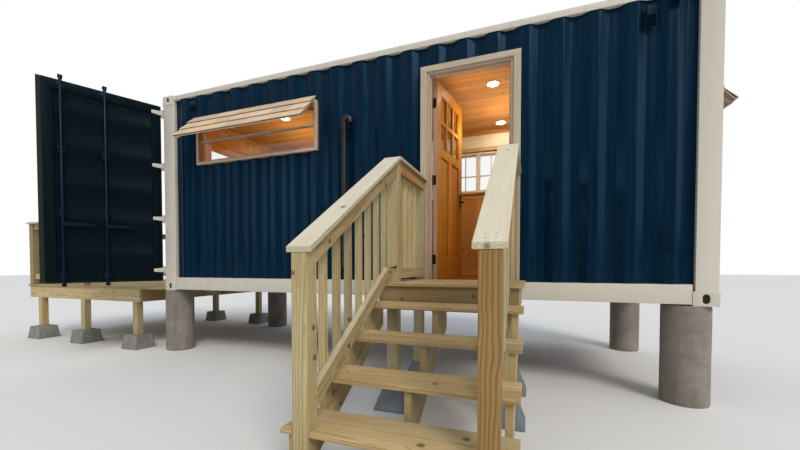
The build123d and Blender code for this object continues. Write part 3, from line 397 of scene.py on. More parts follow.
def painted(name, colour, worn, rough=0.4, streaks=0.35, rust=0.0, gloss=0.5, tint=(1, 1, 1)):
    """Painted steel: uneven tone, streaks of dirt running down, orange peel and a few rust marks."""
    m = Material(name)
    place = m.place()
    patch = m.cloud(place, 1.7, 4.0, 0.6)
    run = m.cloud(place, 1.0, 4.0, 0.65, stretch=(26, 26, 0.8))
    speck = m.cloud(place, 75, 3.0, 0.7)
    share = m.times(m.spread(run, 0.42, 0.72), m.spread(patch, 0.3, 0.75, 0.25, 1.0))
    mixed = m.blend(m.times(share, streaks), colour, worn)
    mixed = m.blend(m.spread(speck, 0.60, 0.78, 0.0, 0.25), mixed, tuple(c * 0.55 for c in colour))
    if rust:
        spots = m.cloud(place, 21, 5.0, 0.75)
        mixed = m.blend(m.spread(spots, 0.74 - rust, 0.80 - rust), mixed, (0.11, 0.035, 0.012))
    peel = m.cloud(place, 420, 2.0, 0.5)
    return m.done(mixed, m.spread(run, 0.3, 0.75, rough - 0.08, rough + 0.22),
                  (m.plus(m.times(peel, 0.35), speck), 0.35, 0.0006), Specular_IOR_Level=gloss, Specular_Tint=tint)


def concrete(name, colour, pale, stain, seams=0.0):
    """Cast concrete: mottled, pitted, with pale bloom and stains that run down."""
    m = Material(name)
    place = m.place()
    patch = m.cloud(place, 4.5, 5.0, 0.62)
    grit = m.cloud(place, 120, 4.0, 0.7)
    run = m.cloud(place, 1.0, 3.0, 0.6, stretch=(11, 11, 1.2))
    mixed = m.blend(m.spread(patch, 0.35, 0.7), colour, pale)
    mixed = m.blend(m.spread(run, 0.5, 0.75, 0.0, 0.55), mixed, stain)
    if seams:
        turn = m.math("FRACT", m.math("DIVIDE", m.split(place)[2], seams))
        mixed = m.blend(m.times(m.spread(turn, 0.0, 0.03, 1.0, 0.0), 0.45), mixed, stain)
    mixed = m.blend(m.spread(grit, 0.3, 0.62, 0.35, 0.0), mixed, tuple(c * 0.5 for c in colour))
    return m.done(mixed, 0.9, (grit, 0.7, 0.0015))


def metal(name, colour, rough, metallic):
    """Bare, plated or coated hardware with a mottled, slightly scratched surface."""
    m = Material(name)
    place = m.place()
    patch = m.cloud(place, 60, 4.0, 0.6)
    fine = m.cloud(place, 1.0, 3.0, 0.6, stretch=(900, 300, 900))
    mixed = m.blend(m.spread(patch, 0.3, 0.75), colour, tuple(c * 0.55 for c in colour))
    return m.done(mixed, m.spread(fine, 0.3, 0.75, rough - 0.06, rough + 0.2), (fine, 0.2, 0.0003), Metallic=metallic)


navy = painted("navy_paint", (0.0016, 0.014, 0.032), (0.0052, 0.025, 0.048), 0.20, 0.45, gloss=0.20,
               tint=(0.28, 0.62, 1.0))
# A darker copy of the wall's navy paint for the cargo leaves: painted shade on them.
shaded_leaf_navy = painted("shaded_navy_paint", (0.0020, 0.0065, 0.009), (0.005, 0.012, 0.017), 0.4, 0.4, gloss=0.08,
                    tint=(0.5, 0.8, 1.0))
# A darker copy of the navy paint for the lock rods, between the wall's and the leaves': painted shade on them.
shaded_rod_navy = painted("shaded_rod_paint", (0.0018, 0.008, 0.017), (0.005, 0.015, 0.026), 0.24, 0.4, gloss=0.22,
                   tint=(0.4, 0.7, 1.0))
cream = painted("cream_paint", (0.62, 0.575, 0.49), (0.42, 0.38, 0.31), 0.45, 0.30)
under_steel = painted("under_coat", (0.030, 0.028, 0.026), (0.09, 0.06, 0.045), 0.6, 0.6, rust=0.13)
pipe_black = painted("pipe_black", (0.010, 0.010, 0.011), (0.03, 0.03, 0.03), 0.22, 0.3)
black_metal = metal("black_hardware", (0.012, 0.011, 0.011), 0.34, 0.3)
plated = metal("plated_steel", (0.42, 0.43, 0.44), 0.38, 0.95)
pine = timber("treated_pine", (0.55, 0.43, 0.215), (0.29, 0.19, 0.065), (0.43, 0.40, 0.235), 0.011, 5.5,
              top_bleach_and_light=0.5, warmth=0.85)
# The caps' pine, greyed by weather, with strong top lightening that is partly painted light.
cap_pine = timber("weathered_top_lit_pine", (0.62, 0.55, 0.38), (0.44, 0.35, 0.20), (0.60, 0.55, 0.42), 0.012, 5.0,
                  top_bleach_and_light=0.9, vary=0.1)
tread_pine = timber("tread_pine", (0.57, 0.40, 0.185), (0.34, 0.205, 0.07), (0.49, 0.36, 0.175), 0.012, 4.5,
                    top_bleach_and_light=0.12, warmth=0.15)
# A darker, browner copy of the stair pine for the right newel: painted shade on it.
shaded_newel_pine = timber("shaded_newel_pine", (0.38, 0.225, 0.062), (0.165, 0.080, 0.018), (0.33, 0.19, 0.05), 0.021, 3.0,
                    vary=0.1, wander=0.065)
cedar = timber("cedar_boards", (0.80, 0.61, 0.42), (0.56, 0.36, 0.20), (0.72, 0.57, 0.42), 0.006, 0.0, 0.75,
               relief=0.0010, vary=0.14)
warm = timber("warm_pine", (0.56, 0.27, 0.085), (0.38, 0.145, 0.032), (0.50, 0.25, 0.08), 0.008, 5.5, 0.42,
              relief=0.0003, vary=0.16)
core_wood = timber("core_pine", (0.50, 0.26, 0.09), (0.36, 0.15, 0.04), (0.46, 0.24, 0.08), 0.012, 0.0, 0.6,
                   relief=0.0003, vary=0.16, whole=True)
door_wood = timber("door_wood", (0.56, 0.225, 0.016), (0.32, 0.10, 0.006), (0.50, 0.20, 0.02), 0.007, 0.0, 0.36,
                   relief=0.0003, vary=0.12)
floor_wood = timber("floor_wood", (0.22, 0.075, 0.028), (0.11, 0.03, 0.012), (0.19, 0.07, 0.03), 0.009, 0.0, 0.4,
                    relief=0.0003, vary=0.2)
white_trim = timber("white_trim", (0.70, 0.67, 0.60), (0.60, 0.56, 0.49), (0.68, 0.65, 0.58), 0.02, 0.0, 0.45,
                    relief=0.0002, vary=0.05)
blush_trim = timber("blush_trim", (0.56, 0.42, 0.32), (0.42, 0.29, 0.20), (0.54, 0.42, 0.33), 0.012, 0.0, 0.5,
                    relief=0.0003, vary=0.08)
cream_trim = timber("cream_trim", (0.56, 0.49, 0.36), (0.43, 0.36, 0.245), (0.54, 0.47, 0.35), 0.012, 0.0, 0.5,
                    relief=0.0003, vary=0.06)
pier_concrete = concrete("pier_concrete", (0.235, 0.205, 0.175), (0.32, 0.29, 0.255), (0.13, 0.12, 0.095), 0.21)
block_concrete = concrete("block_concrete", (0.22, 0.21, 0.19), (0.34, 0.33, 0.30), (0.11, 0.10, 0.085))
blue_concrete = concrete("stair_block_concrete", (0.17, 0.19, 0.205), (0.27, 0.30, 0.32), (0.10, 0.11, 0.11))
m = Material("clear_glass")
haze = m.cloud(m.place(), 3.0, 3.0)
glass = m.done(m.blend(haze, (0.93, 0.97, 0.96), (0.97, 0.99, 0.98)), m.spread(haze, 0.3, 0.8, 0.0, 0.035),
               Transmission_Weight=1, IOR=1.45)
m = Material("black_rubber")
rubber = m.done(m.blend(m.cloud(m.place(), 30), (0.006, 0.006, 0.006), (0.014, 0.014, 0.013)), 0.8)


# Entrance stair, from the same sizes as the frame
POST, STUD, BOARD, GAP, THICK, CAP = 89, 38, 140, 6, 25, 25
BEAM = 184
CENTRE = 4056
STAIR_X0, STAIR_X1 = CENTRE - 558.5, CENTRE + 558.5
NEWELS = (CENTRE - 442 - POST / 2, CENTRE + 442 - POST / 2)
NEWEL_Y, LANDING_POST_Y, REAR_POST_Y = -2102, -843, 6 - STUD - POST
RISE, RUN = 176, 290
SLOPE = math.atan2(RISE, RUN)
SLOPE_WAY = (0, math.cos(SLOPE), math.sin(SLOPE))
RAIL_HEIGHT = 894
LANDING = 194
BLOCK_TOP = GROUND + 200
RAIL_END = -25
STRINGERS = (NEWELS[0] - STUD, CENTRE - STUD / 2, NEWELS[1] + POST)
WALL_STUD_Y = RAIL_END - STUD
LEVEL_RAIL = LANDING + 28


def tread_front(n):
    return NEWEL_Y + (n - 1) * RUN


def tread_top(n):
    return GROUND + (n + 1) * RISE


def rail_line(y):
    return tread_top(1) + RAIL_HEIGHT + (y - NEWEL_Y) * math.tan(SLOPE)


def notched(x0, x1, y0, y1, notches):
    """Outlines of a board after notches in its front or rear edge, or right through it."""
    runs, x = [], x0
    for a, b, c, d in sorted(notches):
        if c <= y0 and d >= y1:
            runs.append((x, a))
            x = b
    runs.append((x, x1))
    for low, high in runs:
        front, back = [(low, y0)], []
        for a, b, c, d in sorted(notches):
            if a < low or b > high:
                continue
            if c <= y0 < d < y1:
                front += [(a, y0), (a, d), (b, d), (b, y0)]
            elif y0 < c < y1 <= d:
                back += [(a, y1), (a, c), (b, c), (b, y1)]
        yield front + [(high, y0), (high, y1)] + back[::-1] + [(low, y1)]


def screws(places, way=UP, radius=4.2):
    for place in places:
        heads.disc(place, way, radius, 0.9, 10)


def walking_board(y, stop, top, holes, jitter, screwed):
    """A board of a tread or the landing, with screws over the stringers where screwed says so."""
    for outline in notched(STAIR_X0, STAIR_X1, y, stop, holes):
        treads.prism(outline, "z", top - THICK, top, ALONG, 3.0, 2)
    off = treads.random.uniform
    screws([(x + STUD / 2 + off(-4, 4), y + s + (off(-4, 4) if jitter else 0), top - 0.4)
            for x in STRINGERS for s in (34, 106) if screwed(x, s)])


post_holes = [(x - 2, x + POST + 2, y - 2, y + POST + 2) for x in NEWELS for y in (NEWEL_Y, LANDING_POST_Y)]
treads, heads = Build(11), Build(12)
for n in range(5):
    for k in range(2):
        y = tread_front(n) + k * (BOARD + GAP)
        walking_board(y, y + BOARD, tread_top(n), post_holes if n == 1 else [], True,
                      lambda x, s: n != 1 or x == STRINGERS[1] or s != 34 or k != 0)
y = tread_front(5)
while y < -70:
    stop = min(y + BOARD, RAIL_END)
    walking_board(y, stop, LANDING, post_holes, False, lambda x, s: stop - y > 100 and (
        x == STRINGERS[1] or not LANDING_POST_Y - 20 < y + s < LANDING_POST_Y + POST + 20))
    y += BOARD + GAP
treads.make("stair_tread_boards", tread_pine, "stair_treads")

carriage = Build(13)
for x in STRINGERS:
    outline = [(tread_front(0) + THICK, GROUND)]
    for n in range(5):
        front, top = tread_front(n) + THICK, tread_top(n) - THICK
        outline += [(front, top), (front + RUN, top)]
    back = tread_front(5) + THICK
    low = tread_top(5) - THICK - 286 / math.cos(SLOPE)
    outline += [(back, low), (back - (low - GROUND) / math.tan(SLOPE), GROUND)]
    carriage.prism(outline, "x", x, x + STUD, SLOPE_WAY, 1.5)
carriage.make("stair_carriages", pine, "stair_stringers")

rim = Build(14)
z1 = LANDING - THICK
z0 = z1 - BEAM
y0, y1 = tread_front(5) + THICK, 6
x0, x1 = STRINGERS[0], STRINGERS[2] + STUD
# The landing's front beam gets a dark olive tone: painted shade under the landing's edge.
rim.fixed = (0.1, 0.75, 0.8)
rim.bar(x0, x1, y0, y0 + STUD, z0, z1)
rim.fixed = None
rim.bar(x0, x1, y1 - STUD, y1, z0, z1)
for x in (x0, STRINGERS[1], x1 - STUD):
    rim.bar(x, x + STUD, y0 + STUD, y1 - STUD, z0, z1)
rim.make("landing_beams", pine, "landing_frame")

cap_drop = CAP / math.cos(SLOPE)
PEAK_Y = -826
peak = rail_line(PEAK_Y)
under_cap = peak - CAP
cap_bend = PEAK_Y + (cap_drop - CAP) / math.tan(SLOPE)
posts, right_newel = Build(15), Build(14)
for x, post, newel_tone, landing_tone in ((NEWELS[0], posts, (0.75, 0.35, 0.25), (0.55, 0.65, 0.2)),
                                          (NEWELS[1], right_newel, (0.5, 0.3, 0.0), (0.6, 0.3, 0.5))):
    y0, y1 = NEWEL_Y, NEWEL_Y + POST
    post.fixed = newel_tone
    post.prism([(y0, GROUND), (y1, GROUND), (y1, rail_line(y1) - cap_drop), (y0, rail_line(y0) - cap_drop)],
               "x", x, x + POST, UP, 5.0, 2)
    posts.fixed = landing_tone
    y0, y1 = LANDING_POST_Y, LANDING_POST_Y + POST
    posts.prism([(y0, BLOCK_TOP), (y1, BLOCK_TOP), (y1, under_cap), (cap_bend, under_cap),
                 (y0, rail_line(y0) - cap_drop)], "x", x, x + POST, UP, 4.0, 2)
    posts.bar(x, x + POST, REAR_POST_Y, REAR_POST_Y + POST, BLOCK_TOP, LANDING - THICK, 4.0)
posts.make("stair_post_timbers", pine, "stair_posts")
right_newel.make("stair_newel_right", shaded_newel_pine, "stair_posts")


def stations(start, stop, spacing):
    """Places between two ends, evenly spread at about a spacing."""
    count = round((stop - start) / spacing)
    return [start + n * ((stop - start) / count) for n in range(1, count)]


def sloped(a, b, upper, lower):
    """Outline of a bar along the slope between two distances under the cap's top."""
    return [(a, rail_line(a) - upper), (b, rail_line(b) - upper), (b, rail_line(b) - lower), (a, rail_line(a) - lower)]


def stair_rail(seed, side, x, way):
    """A railing of the stair; its rails lie at the post's face that way points to, its balusters on the other."""
    rail, cap = Build(seed), Build(seed + 60)
    middle = x + POST / 2
    across = middle - 70, middle + 70
    start = NEWEL_Y - 4
    cap.prism([(start, rail_line(start)), (PEAK_Y, peak), (cap_bend, under_cap), (start, rail_line(start) - cap_drop)],
              "x", *across, SLOPE_WAY, 3.5, 2)
    cap.prism([(PEAK_Y + 0.6, peak), (RAIL_END, peak), (RAIL_END, under_cap), (cap_bend + 0.6, under_cap)],
              "x", *across, ACROSS, 3.5, 2)
    rail_x = (x + POST - STUD, x + POST) if way > 0 else (x, x + STUD)
    pale_x = rail_x[0] - way * STUD, rail_x[1] - way * STUD
    depth = POST / math.cos(SLOPE)
    low_y, high_y, level_y = NEWEL_Y + POST, LANDING_POST_Y, LANDING_POST_Y + POST
    foot = RAIL_HEIGHT - 35
    level_top = LEVEL_RAIL + POST
    rail.prism(sloped(low_y, high_y, cap_drop, cap_drop + depth), "x", *rail_x, SLOPE_WAY, 2.5)
    cut = high_y - (rail_line(high_y) - foot + depth - level_top) / math.tan(SLOPE)
    rail.prism([(low_y, rail_line(low_y) - foot + depth), (cut, level_top), (high_y, level_top),
                (high_y, rail_line(high_y) - foot), (low_y, rail_line(low_y) - foot)], "x", *rail_x, SLOPE_WAY, 3.0, 2)
    rail.bar(*rail_x, level_y, WALL_STUD_Y, under_cap - POST, under_cap, 2.5)
    rail.bar(*rail_x, level_y, WALL_STUD_Y, LEVEL_RAIL, level_top, 2.5)
    rail.fixed = (0.3, 0.6, 0.35)
    rail.bar(x, x + POST, WALL_STUD_Y, RAIL_END, LANDING, under_cap, 2.5, along=UP)
    rail.fixed = None
    for place in stations(low_y, high_y, 146):
        y = place - STUD / 2 + rail.random.uniform(-1.5, 1.5)
        rail.prism(sloped(y, y + STUD, cap_drop, foot), "x", *pale_x, UP, 2.5)
        height = rail_line(y + STUD / 2)
        out = pale_x[way < 0] + way * 0.3
        screws([(out, y + STUD / 2, z + dz) for z in (height - cap_drop - 50, height - foot + 48) for dz in (-16, 16)],
               (-way, 0, 0), 3.6)
    for place in stations(level_y, WALL_STUD_Y, 146):
        y = place - STUD / 2
        rail.bar(*pale_x, y, y + STUD, LEVEL_RAIL, under_cap, 2.5)
    screws([(middle + s, y, rail_line(y) - 0.3) for y in (NEWEL_Y + 30, NEWEL_Y + 60) for s in (-22, 22)],
           (0, -math.sin(SLOPE), math.cos(SLOPE)))
    screws([(middle + s, y, peak - 0.3) for y in (-800, -60) for s in (-22, 22)])
    rail.make("stair_rail_" + side, pine, "stair_railing_" + side)
    cap.make(f"stair_rail_{side}_cap", cap_pine, "stair_railing_" + side)


stair_rail(16, "left", NEWELS[0], 1)
stair_rail(17, "right", NEWELS[1], -1)

# Deck at the cargo-door end
DECK_X0, DECK_X1, DECK_Y0, DECK_Y1 = -3000, -440, -50, WIDTH + 50
DECK_BASE, DECK_TOP = 8, 33
DECK_UNDER = DECK_BASE - BEAM
RAILING, OVERHANG = 1000, 25.5
deck = Build(21)
deck.fixed = (1.0, 0.2, 0.2)
for y in (DECK_Y0, DECK_Y1 - STUD):
    deck.bar(DECK_X0, DECK_X1, y, y + STUD, DECK_UNDER, DECK_BASE, 2.5)
    deck.fixed = None
for x in (DECK_X0, DECK_X1 - STUD):
    deck.bar(x, x + STUD, DECK_Y0 + STUD, DECK_Y1 - STUD, DECK_UNDER, DECK_BASE, 2.5)
count = round((DECK_X1 - DECK_X0) / 560)
joists = [DECK_X0 + n * (DECK_X1 - DECK_X0) / count for n in range(count + 1)]
for x in joists[1:-1]:
    deck.bar(x - STUD / 2, x + STUD / 2, DECK_Y0 + STUD, DECK_Y1 - STUD, DECK_BASE - BOARD, DECK_BASE)
for n in range(5):
    y = DECK_Y0 + 700 + n * (DECK_Y1 - DECK_Y0 - 1400) / 4
    deck.bar(DECK_X1, 0, y - STUD / 2, y + STUD / 2, DECK_BASE - BOARD, DECK_BASE)
deck.make("deck_joists", pine, "deck_frame")
DECK_POSTS = [(x, y) for x in (-2790, -1725, -585) for y in (DECK_Y0, DECK_Y1 - POST)]
stand = Build(22)
for x, y in DECK_POSTS:
    stand.bar(x, x + POST, y, y + POST, GROUND + 190, DECK_UNDER, 4.0, 2)
stand.make("deck_post_timbers", pine, "deck_posts")
boards = Build(23)
y = DECK_Y0 - 20
while y < DECK_Y1 + 20 - 70:
    boards.bar(DECK_X0 - 20, 0, y, y + BOARD, DECK_BASE, DECK_TOP, 3.0, 2)
    for x in joists:
        x = min(max(x, DECK_X0 + STUD / 2), DECK_X1 - STUD / 2)
        screws([(x + boards.random.uniform(-5, 5), y + s + boards.random.uniform(-4, 4), DECK_TOP - 0.3)
                for s in (32, 108)])
    y += BOARD + GAP
boards.make("deck_board_timbers", tread_pine, "deck_boards")


def fence(build, length):
    """Two rails and their balusters between two posts of the deck's railing."""
    under = RAILING - CAP
    for z in (80, under - POST):
        build.bar(0, length, 25.5, 25.5 + STUD, z, z + POST, 2.5)
    for place in stations(0, length, 118):
        x = place - STUD / 2 + build.random.uniform(-2, 2)
        build.bar(x, x + STUD, 63.5, 83.5, 80, under)


def deck_rail(seed, side, length, starts, span, place):
    """A railing of the deck along its own X: posts, fences between them and a cap."""
    rail, cap = Build(seed), Build(seed + 60, place)
    for start, stop in zip(starts, starts[1:]):
        rail.change = lambda p: place((p[0] + start + POST, p[1], p[2]))
        fence(rail, stop - start - POST)
    rail.change = place
    for x in starts:
        if 0 <= x <= length - POST:
            rail.bar(x, x + POST, 0, POST, 0, RAILING - CAP, 4.0, 2)
    cap.bar(*span, -OVERHANG, POST + OVERHANG, RAILING - CAP, RAILING, 3.5, 2)
    rail.make("deck_rail_" + side, pine, "deck_railing_" + side)
    cap.make(f"deck_rail_{side}_cap", cap_pine, "deck_railing_" + side)


def deck_front(p):
    return DECK_X0 + p[0], DECK_Y0 + p[1], DECK_TOP + p[2]


SHORT = 1364
ends = (0, SHORT - POST)
deck_rail(24, "front", SHORT, ends, (-OVERHANG, SHORT + OVERHANG), deck_front)
deck_rail(25, "rear", SHORT, ends, (-OVERHANG, SHORT + OVERHANG), lambda p: to_rear(deck_front(p)))
long = DECK_Y1 - DECK_Y0 - 2 * POST
deck_rail(26, "left", long, (-POST, (long - POST) / 2, long), (OVERHANG, long - OVERHANG),
          lambda p: (DECK_X0 + p[1], DECK_Y0 + POST + p[0], DECK_TOP + p[2]))
heads.make("timber_screws", plated, smooth=40)


# Corrugated steel
def ribs(start, stop, base, pitch, flat, depth):
    """Corners of the trapezoid corrugation between start and stop."""
    ramp = (pitch - 2 * flat) / 2
    pattern = [(0, 0), (flat, 0), (flat + ramp, depth), (2 * flat + ramp, depth)]
    first, last = math.floor((start - base) / pitch) - 1, math.ceil((stop - base) / pitch) + 1
    corners = [(base + n * pitch + u, v) for n in range(first, last) for u, v in pattern]

    def level(u):
        for (u0, v0), (u1, v1) in zip(corners, corners[1:]):
            if u0 <= u <= u1:
                return v0 + (v1 - v0) * (u - u0) / (u1 - u0)

    return [(start, level(start))] + [c for c in corners if start + 1 < c[0] < stop - 1] + [(stop, level(stop))]


def rounded(line, radius, steps=3, cuts=(), widest=30):
    """The corrugation with pressed, rounded bends, and a station at each cut."""
    line = [Vector(p) for p in line]
    made = [line[0]]
    for before, corner, after in zip(line, line[1:], line[2:]):
        a, b = corner - before, after - corner
        reach = min(radius * math.tan(a.angle(b) / 2) + 1, 0.45 * a.length, 0.45 * b.length)
        p, q = corner - a.normalized() * reach, corner + b.normalized() * reach
        made += [p.lerp(corner, t).lerp(corner.lerp(q, t), t) for t in (k / steps for k in range(steps + 1))]
    made.append(line[-1])
    filled = [made[0]]
    for p in made[1:]:
        a = filled[-1]
        parts = math.ceil((p - a).length / widest)
        filled += [a.lerp(p, (k + 1) / parts) for k in range(parts)]
    for cut in cuts:
        if filled[0].x < cut < filled[-1].x:
            for k, (a, b) in enumerate(zip(filled, filled[1:])):
                if abs(a.x - cut) < 0.5:
                    break
                if a.x < cut < b.x:
                    filled.insert(k + 1, a.lerp(b, (cut - a.x) / (b.x - a.x)))
                    break
    return filled


def sheet_wall(name, line, rows, place, holes, dents, node, seed, wave=1.3):
    """A pressed steel sheet, two millimetres thick, with gentle waves and dents. Rows run across the line."""
    def push(u, v, r):
        edge = min(1.0, (r - rows[0]) / 90, (rows[-1] - r) / 90)
        for a, b, c, d in holes:
            away = max(a - u, u - b, c - r, r - d)
            edge = min(edge, max(0.0, away / 90))
        swell = wave * noise.noise((u / 420, r / 760, seed)) + 0.5 * wave * noise.noise((u / 150, r / 230, seed + 5))
        for du, dr, deep, wide in dents:
            far = ((u - du) / wide) ** 2 + ((r - dr) / wide) ** 2
            if far < 6:
                swell += deep * math.exp(-far) * (1 + 0.35 * noise.noise((u / 25, r / 25, 3)))
        if swell > 0:
            swell *= max(0.0, 1 - v / 30)
        return max(edge, 0.0) * swell

    points, index = [], {}
    for i, p in enumerate(line):
        for j, r in enumerate(rows):
            for side in (0, 1):
                index[i, j, side] = len(points)
                points.append(place(p.x, p.y + push(p.x, p.y, r) + 2 * side, r))

    def solid(i, j):
        if not (0 <= i < len(line) - 1 and 0 <= j < len(rows) - 1):
            return False
        u, r = (line[i].x + line[i + 1].x) / 2, (rows[j] + rows[j + 1]) / 2
        return not any(a < u < b and c < r < d for a, b, c, d in holes)

    faces = []
    for i, j in ((i, j) for i in range(len(line) - 1) for j in range(len(rows) - 1) if solid(i, j)):
        loop = ((i, j), (i + 1, j), (i + 1, j + 1), (i, j + 1))
        faces.append([index[*c, 0] for c in loop])
        faces.append([index[*loop[k], 1] for k in (0, 3, 2, 1)])
        for di, dj, a, b in ((-1, 0, 0, 3), (1, 0, 2, 1), (0, -1, 1, 0), (0, 1, 3, 2)):
            if not solid(i + di, j + dj):
                a, b = loop[a], loop[b]
                faces.append([index[*a, 0], index[*a, 1], index[*b, 1], index[*b, 0]])
    used = sorted({k for face in faces for k in face})
    number = {k: n for n, k in enumerate(used)}
    build = Build(seed)
    build.add([points[k] for k in used], [[number[k] for k in face] for face in faces])
    piece = build.make(name, navy, node, smooth=40)
    bm = bmesh.new()
    bm.from_mesh(piece.data)
    bmesh.ops.recalc_face_normals(bm, faces=bm.faces)
    bm.to_mesh(piece.data)
    bm.free()


def levels(low, high, step, cuts=()):
    """Evenly spread rows, with one at each cut."""
    marks = sorted({low, high, *[c for c in cuts if low < c < high]})
    rows = []
    for a, b in zip(marks, marks[1:]):
        parts = math.ceil((b - a) / step)
        rows += [a + (b - a) * k / parts for k in range(parts)]
    return rows + [high]


# Base, pitch, flat and depth of the side walls' corrugation
SIDE = (44, 282, 73, 36)
SHEET_X0, SHEET_X1, SHEET_TOP = 200, 5898, 2521
CASTING_X, CASTING_Y = 178, 162
corner_notch = (5880, 5900, 2473, 2530)


def side_sheet(name, node, x0, x1, z0, holes, dents, seed, rear=False):
    line = rounded(ribs(x0, x1, *SIDE), 16, cuts=[c for h in holes for c in h[:2]])
    rows = levels(z0, SHEET_TOP, 70, [c for h in holes for c in h[2:]])
    place = (lambda u, v, r: (u, WIDTH - SKIN - v, r)) if rear else (lambda u, v, r: (u, SKIN + v, r))
    sheet_wall(name, line, rows, place, holes, dents, node, seed)


front_dents = [(2330, 2100, 7, 42), (2960, 1930, 6, 36), (4712, 2240, 7, 40), (5290, 2060, 8, 44), (5120, 900, 5, 60),
               (2150, 1180, 6, 55), (900, 760, 5, 60), (1420, 480, 6, 48), (3300, 700, 5, 50)]
rear_dents = [(1100, 1300, 7, 55), (2600, 800, 6, 60), (5100, 1700, 8, 50), (3100, 2200, 5, 50), (4800, 500, 6, 45)]
side_sheet("front_sheet_left", "front_wall_left", SHEET_X0, ENTRY_X0, FLOOR, [FRONT_HOLE], front_dents, 31)
side_sheet("front_sheet_over_door", "front_wall_over_door", ENTRY_X0, ENTRY_X1, ENTRY_TOP, [], [], 32)
side_sheet("front_sheet_right", "front_wall_right", ENTRY_X1, SHEET_X1, FLOOR, [corner_notch], front_dents, 33)
side_sheet("rear_sheet", "rear_wall", SHEET_X0, SHEET_X1, FLOOR, [REAR_HOLE, corner_notch], rear_dents, 34, rear=True)
line = rounded(ribs(160, WIDTH - 160, 160, 250, 110, 45), 18, cuts=END_HOLE[:2])
sheet_wall("blind_end_sheet", line, levels(140, 2473, 70, END_HOLE[2:]), lambda u, v, r: (LENGTH - SKIN - v, u, r),
           [END_HOLE], [(420, 900, 7, 50), (1500, 1200, 6, 60), (2000, 600, 6, 50)], "blind_end_wall", 35)
line = rounded(ribs(66, LENGTH - 66, 66, 209, 90, 20), 12, cuts=[CASTING_X, LENGTH - CASTING_X])
corners = [(*u, *r) for r in ((0, CASTING_Y), (WIDTH - CASTING_Y, WIDTH))
           for u in ((0, CASTING_X), (LENGTH - CASTING_X, LENGTH))]
sheet_wall("roof_sheet", line, levels(66, WIDTH - 66, 150, [CASTING_Y, WIDTH - CASTING_Y]),
           lambda u, v, r: (u, r, HEIGHT - 10 - v), corners,
           [(1500, 900, 6, 160), (3900, 1500, 7, 200), (5000, 700, 5, 150)], "roof_panel", 36, wave=1.6)

beads = Build(37)
low_seam, high_seam = FLOOR + 2, SHEET_TOP - 3
for x0, x1, z, rear in ((SHEET_X0, ENTRY_X0, low_seam, False), (ENTRY_X1, SHEET_X1, low_seam, False),
                        (SHEET_X0, SHEET_X1, low_seam, True), (SHEET_X0, ENTRY_X0, high_seam, False),
                        (ENTRY_X0, ENTRY_X1, high_seam, False), (ENTRY_X1, corner_notch[0], high_seam, False),
                        (SHEET_X0, corner_notch[0], high_seam, True)):
    depths = [(p.x, SKIN - 1 + p.y) for p in rounded(ribs(x0, x1, *SIDE), 16, widest=80)]
    beads.tube([(x, WIDTH - y if rear else y, z + beads.random.uniform(-0.6, 0.6)) for x, y in depths], 4.5, 5)
beads.make("wall_weld_beads", navy, slot="navy_steel", smooth=60)


# Steel frame: the solids of the CAD nodes with eased edges
def islands(bm):
    """The separate solids of a mesh."""
    left = set(bm.verts)
    while left:
        group, queue = set(), [left.pop()]
        while queue:
            vert = queue.pop()
            group.add(vert)
            near = {edge.other_vert(vert) for edge in vert.link_edges} & left
            left -= near
            queue += near
        yield group


def dressed(node, name, material, size, segments=2, keep=None, slot=None):
    """A copy of a node's solids with eased edges, for surfaces that need no other shape."""
    bm = bmesh.new()
    bm.from_mesh(nodes[node].data)
    bmesh.ops.remove_doubles(bm, verts=bm.verts, dist=1e-5)
    if keep:
        heights = {}
        for group in islands(bm):
            height = max(v.co.z for v in group) - min(v.co.z for v in group)
            heights.update((v, height) for v in group)
        bmesh.ops.delete(bm, geom=[v for v in bm.verts if not keep(heights[v])], context="VERTS")
    bmesh.ops.dissolve_limit(bm, angle_limit=math.radians(0.6), verts=bm.verts, edges=bm.edges)
    ease(bm, size / 1000, segments,
         [e for e in bm.edges if len(e.link_faces) == 2 and e.calc_face_angle() > math.radians(42)])
    bmesh.ops.recalc_face_normals(bm, faces=bm.faces)
    mesh = bpy.data.meshes.new(name)
    bm.to_mesh(mesh)
    bm.free()
    put(mesh, name, material, node, slot, smooth=38)


for end in ("left", "right"):
    dressed("end_frame_" + end, "end_frame_steel_" + end, cream, 4, 3)
for side in ("front", "rear"):
    dressed("bottom_rail_" + side, "bottom_rail_steel_" + side, cream, 2.6, 3)
    dressed("top_rail_" + side, "top_rail_steel_" + side, cream, 4, 3)

# Black linings inside the castings' holes: painted shade in the holes.
hole_shade_linings = Build(49)
# Half the straight part of a casting's hole, and the radius of its round ends
HOLE_REACH, HOLE_RADIUS = 14, 25.1
hole = [(HOLE_RADIUS * math.cos(a), HOLE_RADIUS * math.sin(a) + math.copysign(HOLE_REACH, math.sin(a)))
        for a in (2 * math.pi * (k + 0.5) / 36 for k in range(36))]
for x_end in (0, 1):
    for y_end in (0, 1):
        x, x_way = x_end * LENGTH, 1 - 2 * x_end
        y, y_way = y_end * WIDTH, 1 - 2 * y_end
        for z in (59, HEIGHT - 59):
            for axis, centre, face, way in (("y", x + x_way * CASTING_X / 2, y, y_way),
                                            ("x", y + y_way * CASTING_Y / 2, x, x_way)):
                hole_shade_linings.prism([(centre + a, z + b) for a, b in hole], axis,
                              *sorted((face + 14 * way, face + 59.5 * way)), bevel=0.5)
hole_shade_linings.make("casting_hole_shade", rubber, slot="cream_steel")
dressed("cross_members", "cross_member_steel", under_steel, 2)
for side in ("front", "rear"):
    dressed("cargo_leaf_" + side, "cargo_leaf_steel_" + side, shaded_leaf_navy, 5, 3)
dressed("cargo_lugs", "cargo_lug_steel", cream, 2)
for side in ("front", "rear"):
    node = "cargo_hardware_" + side
    dressed(node, "cargo_lock_rods_" + side, shaded_rod_navy, 1.5, keep=lambda height: height > 0.5, slot="navy_steel")
    dressed(node, "cargo_hinge_blades_" + side, cream, 2, keep=lambda height: height < 0.5)

# Vent boxes, a relief plate and a hook on the front wall, door seals
vents = Build(47)


